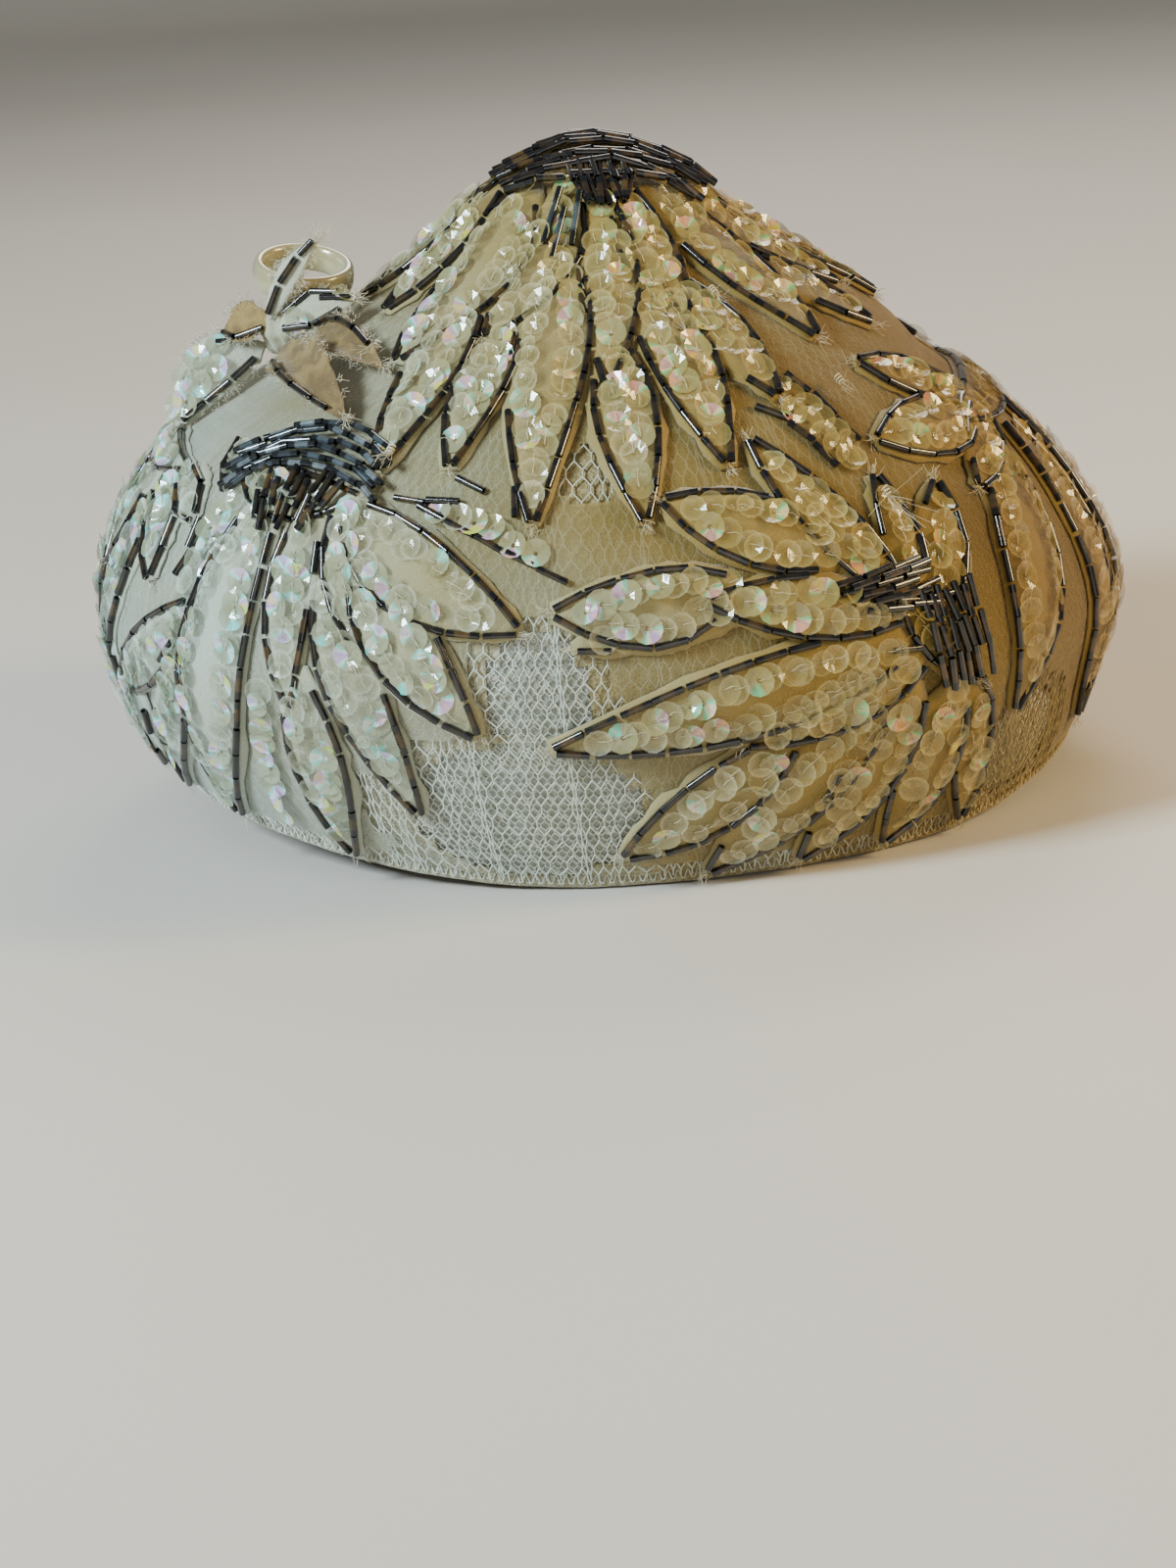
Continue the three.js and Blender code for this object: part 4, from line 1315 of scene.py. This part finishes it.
def add_pads():
    piece = add_bugles("peak_bugles", peak_beads())
    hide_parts("bead_pad_peak")
    add_bugles("peak_drops", peak_drops(), bugle_silver_and_painted_glint)
    for side, turn in (("left", lambda a: a), ("right", lambda a: 360 - a)):
        piece = add_bugles("front_pad_rows_" + side, front_pad_rows(turn), bugle_silver_and_painted_glint)
        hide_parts("bead_pad_front_" + side)
        add_bugles("front_pad_columns_" + side, front_pad_columns(turn))
        piece = add_bugles("side_pad_bugles_" + side, side_pad_beads(turn))
        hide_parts("bead_pad_side_" + side)


# Ornament

RING_RADIUS = 9.6
RING_BAND_THICKNESS = 2.8
RING_BAND_HEIGHT = 6.0
RING_TILT = math.radians(13)
RING_TIP = math.radians(9)
# Petals: name, start and end as azimuth, way and lift, width, arch, cup and twist in degrees
PETAL_ROWS = [
    ("petal_drooping", (7, 0.612, 5.8), (5, 0.5, 2.4), 15, 5.0, 1.6, 45),
    ("petal_resting", (13, 0.632, 8.7), (22, 0.715, 6.0), 10, 1.5, 1.2, -35),
    ("petal_upright", (10.5, 0.63, 10.9), (15.5, 0.725, 19.6), 6, 1.5, 0.6, -50),
    ("petal_hanging", (13.4, 0.625, 5.0), (49, 0.555, 3.5), 11, 3.0, -2.4, 0),
    ("petal_side", (12.6, 0.659, 5.0), (46, 0.63, 3.5), 9, 2.0, -1.8, 0),
]
# The folded root of the drooping petal shows its underside
FLAP_ROW = ("petal_drooping_fold", (9, 0.63, 9.5), (3, 0.585, 12.0), 9, 1.0, -1.0, 40)
OCHRE_PETALS = ("petal_hanging", "petal_side")
# Bugles on the petals: from and to as shares of the length, and across as a share of the half width
PETAL_BEAD_ROWS = {
    "petal_drooping": [(0.12, 0.97, 0.9), (0.1, 0.3, -0.6)],
    "petal_resting": [(0.08, 0.97, -0.85), (0.12, 0.95, 0.85), (0.62, 1.0, 0.3)],
    "petal_upright": [(0.05, 0.97, 0.0)],
    "petal_hanging": [(0.3, 0.9, -0.95)],
    "petal_side": [(0.2, 0.8, 0.8)],
    "petal_drooping_fold": [(0.1, 0.95, 0.85)],
}
PETAL_SEQUINS = {"petal_drooping": 7, "petal_resting": 2}


def petal_axes(row):
    """Start, end, across, out and raised: raised stands off the net, across and out turn with the twist."""
    _, start, end, _, _, _, twist = row
    p = lifted(*start)
    q = lifted(*end)
    normal = net_frame(np.array(float(start[0])), np.array(start[1]))[2]
    along = unit(q - p)
    level = unit(np.cross(normal, along))
    raised = np.cross(along, level)
    c, s = math.cos(math.radians(twist)), math.sin(math.radians(twist))
    return p, q, level * c - raised * s, raised * c + level * s, raised


def petal_point(row, share, offset, height):
    _, _, _, width, arch, cup, _ = row
    p, q, across, out, raised = petal_axes(row)
    share, offset, height = np.broadcast_arrays(
        np.asarray(share, float), np.asarray(offset, float), np.asarray(height, float))
    q_share = offset / np.maximum(leaf_half(share, width), 0.5)
    centre = p + (q - p) * share[..., None]
    swell = np.sin(np.pi * share)
    fold = height - cup * q_share ** 2 * swell
    return centre + across * offset[..., None] + raised * (arch * swell)[..., None] + out * fold[..., None]


def petal_cloth(row):
    steps = 18
    across = 11
    share = np.linspace(0, 1, steps)
    v = np.linspace(-1, 1, across)
    s, t = np.meshgrid(share, v, indexing="ij")
    ragged = 1 + 0.09 * rng.standard_normal((steps, 1)) * (np.abs(t) > 0.99)
    offset = t * leaf_half(s, row[3]) * ragged
    crease = 0.9 * np.exp(-((t - 0.25 + 0.3 * s) / 0.16) ** 2) * np.sin(np.pi * s)
    ripple = 0.2 * np.sin(s * 14) * t + crease
    top = petal_point(row, s, offset, 0.35 + ripple)
    below = petal_point(row, s, offset, -0.2 + ripple)
    count = steps * across
    verts = np.concatenate([top.reshape(-1, 3), below.reshape(-1, 3)])
    ring = np.concatenate([
        np.arange(across),
        np.arange(1, steps) * across + across - 1,
        (steps - 1) * across + np.arange(across - 2, -1, -1),
        np.arange(steps - 2, 0, -1) * across,
    ])
    following = np.roll(ring, -1)
    rim = np.stack([ring, ring + count, following + count, following], axis=1)
    return verts, [grid_faces(steps, across), grid_faces(steps, across, start=count, turned=True), rim]


def petal_beads(row):
    beads = []
    for low, high, side in PETAL_BEAD_ROWS[row[0]]:
        share = np.linspace(low, high, 40)
        path = petal_point(row, share, side * np.maximum(leaf_half(share, row[3]) - 0.3, 0.2), 1.0)
        gone = np.concatenate([[0], np.cumsum(np.linalg.norm(np.diff(path, axis=0), axis=1))])
        at = 0.0
        while at + 0.6 * BUGLE_LENGTH < gone[-1]:
            last = min(at + BUGLE_LENGTH, gone[-1])
            beads.append([np.array([np.interp(d, gone, path[:, k]) for k in range(3)]) for d in (at, last)])
            at += BUGLE_PITCH + 0.3
    return beads


def petal_sequins(row, count):
    share = np.linspace(0.3, 0.88, count)
    offset = leaf_half(share, row[3]) * 0.35 * np.where(np.arange(count) % 2, 1, -1)
    centre = petal_point(row, share, offset, 1.1)
    ahead = petal_point(row, share + 0.02, offset, 1.1)
    aside = petal_point(row, share, offset + 0.2, 1.1)
    along = unit(ahead - centre)
    normal = unit(np.cross(along, aside - centre))
    normal = normal * np.sign((normal * petal_axes(row)[3]).sum(-1))[:, None]
    return centre, unit(normal + 0.2 * rng.standard_normal(normal.shape)), along


def add_knot():
    low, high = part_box("ornament_knot")
    centre = (np.array(low) + np.array(high)) / 2 / MM
    centre[0] -= OFFSET_X
    radius = (np.array(high) - np.array(low)) / 2 / MM
    rows, columns = 28, 48
    polar = np.linspace(0.02, math.pi - 0.02, rows)
    turn = np.arange(columns) * 2 * np.pi / columns
    p, t = np.meshgrid(polar, turn, indexing="ij")
    fold = 1 + 0.10 * np.sin(7 * t + 3 * np.cos(p)) + 0.05 * np.sin(13 * t - 4 * p) + 0.04 * np.sin(9 * p)
    verts = np.stack([
        np.sin(p) * np.cos(t) * radius[0] * fold,
        np.sin(p) * np.sin(t) * radius[1] * fold,
        np.cos(p) * radius[2] * fold,
    ], axis=-1) + centre
    caps = [np.arange(columns)[None, :], (np.arange(columns) + (rows - 1) * columns)[None, ::-1]]
    faces = [grid_faces(rows, columns, wrap=True)[:, ::-1], *caps]
    piece = add_piece("ornament_gather", verts, faces, organza)
    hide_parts("ornament_knot")


def add_ring():
    low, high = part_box("pearl_ring")
    centre = (np.array(low) + np.array(high)) / 2 / MM
    centre[0] -= OFFSET_X
    around, sides = 96, 32
    turn = np.arange(around) * 2 * np.pi / around
    angle = np.arange(sides) * 2 * np.pi / sides
    t, a = np.meshgrid(turn, angle, indexing="ij")
    wall = RING_BAND_THICKNESS / 2 * (1 + 0.05 * np.sin(3 * t + 1))
    height = RING_BAND_HEIGHT / 2
    reach = RING_RADIUS + wall * np.sign(np.cos(a)) * np.abs(np.cos(a)) ** 0.8
    flat = np.stack([reach * np.cos(t), reach * np.sin(t), height * np.sin(a)], axis=-1)
    turn = Matrix.Rotation(RING_TIP, 3, "Y") @ Matrix.Rotation(RING_TILT, 3, "X")
    verts = flat @ np.array(turn).T + centre
    faces = grid_faces(around, sides, wrap=True)
    close = grid_faces(2, sides, wrap=True)
    close = np.where(close >= sides, close - sides, close + (around - 1) * sides)
    piece = add_piece("pearl_ring_smooth", verts, [faces[:, ::-1], close[:, ::-1]], pearl)
    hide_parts("pearl_ring")


def add_petals():
    beads = []
    spots = []
    fuzz = []
    for row in [*PETAL_ROWS, FLAP_ROW]:
        name = row[0]
        ochre = name in OCHRE_PETALS or row is FLAP_ROW
        cloth = ochre_cloth if ochre else petal_cloth_material
        piece = add_piece(name + "_cloth", *petal_cloth(row), cloth)
        if row is not FLAP_ROW:
            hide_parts(name)
        beads.extend(petal_beads(row))
        if name in PETAL_SEQUINS:
            spots.append(petal_sequins(row, PETAL_SEQUINS[name]))
        _, _, across, out, _ = petal_axes(row)
        tip = petal_point(row, 1.0, 0.0, 0.0)
        before = petal_point(row, 0.85, 0.0, 0.0)
        fuzz.append(fuzz_mesh(tip, unit(tip - before), out, 40, 2.6))
        for share in 0.1 + 0.85 * rng.random(16):
            for side in (-1, 1):
                edge = petal_point(row, share, side * float(leaf_half(share, row[3])), 0.0)
                fuzz.append(fuzz_mesh(edge, across * side, out, 7, 0.8))
    add_bugles("ornament_bugles", beads)
    centre, normal, along = (np.concatenate(group) for group in zip(*spots))
    add_sequins("ornament_sequins", centre, normal, along, 0.85)
    piece = add_piece("ornament_threads", *join([stitch_mesh(centre, normal, along), *fuzz]), cream_thread)


# Loose thread ends and knots: azimuth, way, reach in millimetres
LOOSE_THREADS = [
    (118.0, 0.735, 2.5),
    (131.0, 0.56, 2.5),
    (126.0, 0.42, 9.0),
    (40.0, 0.66, 4.0),
    (60.0, 0.52, 4.0),
]


def add_loose_threads():
    parts = []
    for azimuth, way, reach in LOOSE_THREADS:
        for turn in (azimuth, 360 - azimuth):
            base = lifted(turn, way, PAD_LIFT)
            _, up, normal = net_frame(np.array(turn), np.array(way))
            parts.append(fuzz_mesh(base, -unit(up), normal, 16, reach))
            angle = np.linspace(0, 5 * np.pi, 24)
            side = unit(np.cross(normal, unit(up)))
            coil = (base + np.outer(np.cos(angle), side) * 0.7 + np.outer(np.sin(angle), normal) * 0.7
                    + np.outer(angle * 0.12, unit(up)))
            parts.append(tubes(coil[None], 0.22, 4))
    piece = add_piece("loose_threads", *join(parts), cream_thread)


# Bugles and sequins sewn straight onto the net between the sprays: azimuths and ways
SEWN_LIFT = 1.1
SEWN_BUGLES = [
    [(30, 0.525), (33.5, 0.48), (37.5, 0.445)],
    [(33, 0.43), (33.5, 0.39), (31.5, 0.345)],
    [(62.5, 0.476), (73, 0.468)],
    [(66, 0.468), (76, 0.42), (84, 0.378)],
    [(70, 0.5), (77, 0.465)],
    [(77.5, 0.487), (78, 0.443)],
    [(123, 0.6), (126.5, 0.56), (127.5, 0.52), (128.5, 0.485)],
    [(114.5, 0.562), (119.5, 0.53), (121, 0.5), (123, 0.46)],
]
SEWN_SEQUINS = [
    [(33, 0.515), (38.5, 0.46)],
    [(36.5, 0.44), (36, 0.39), (34.5, 0.335)],
    [(39.5, 0.43), (39, 0.37)],
    [(48.5, 0.24), (47.5, 0.16), (46, 0.06)],
    [(69, 0.458), (75, 0.44), (80, 0.41)],
    [(120, 0.585), (123.5, 0.55), (125.5, 0.51), (126, 0.475)],
    [(118.5, 0.56), (121.5, 0.535), (123, 0.5), (124, 0.475)],
]


def sewn_sequins(line):
    """Places, axes and threads of the sequins along one line on the net."""
    line = np.asarray(line, float)
    knots = np.linspace(0, 1, len(line))
    corners = net_point(line[:, 0], line[:, 1])
    length = np.linalg.norm(np.diff(corners, axis=0), axis=1).sum()
    t = np.linspace(0, 1, int(length / SEQUIN_PITCH) + 1)
    azimuth = np.interp(t, knots, line[:, 0]) + 0.3 * rng.standard_normal(len(t))
    way = np.interp(t, knots, line[:, 1])
    centre = lifted(azimuth, way, SEWN_LIFT)
    tilted = unit(net_frame(azimuth, way)[2] + 0.16 * rng.standard_normal((len(t), 3)))
    keep = ~placed.under_leaf(centre, LEAF_SLACK)
    return centre[keep], tilted[keep], unit(np.gradient(centre, axis=0))[keep]


def add_sewn():
    for side, turn in (("left", lambda a: a), ("right", lambda a: 360 - a)):
        beads = []
        for line in SEWN_BUGLES:
            beads.extend(line_beads([(turn(a), w) for a, w in line], SEWN_LIFT, jitter=0.2))
        add_bugles("sewn_bugles_" + side, beads)
        found = [sewn_sequins([(turn(a), w) for a, w in line]) for line in SEWN_SEQUINS]
        add_sequins("sewn_sequins_" + side, *[np.concatenate(part) for part in zip(*found)])


add_lining()
add_net()
add_inner_net()
add_cover()
add_hem()
add_sprays()
add_pads()
add_knot()
add_ring()
add_petals()
add_loose_threads()
add_sewn()
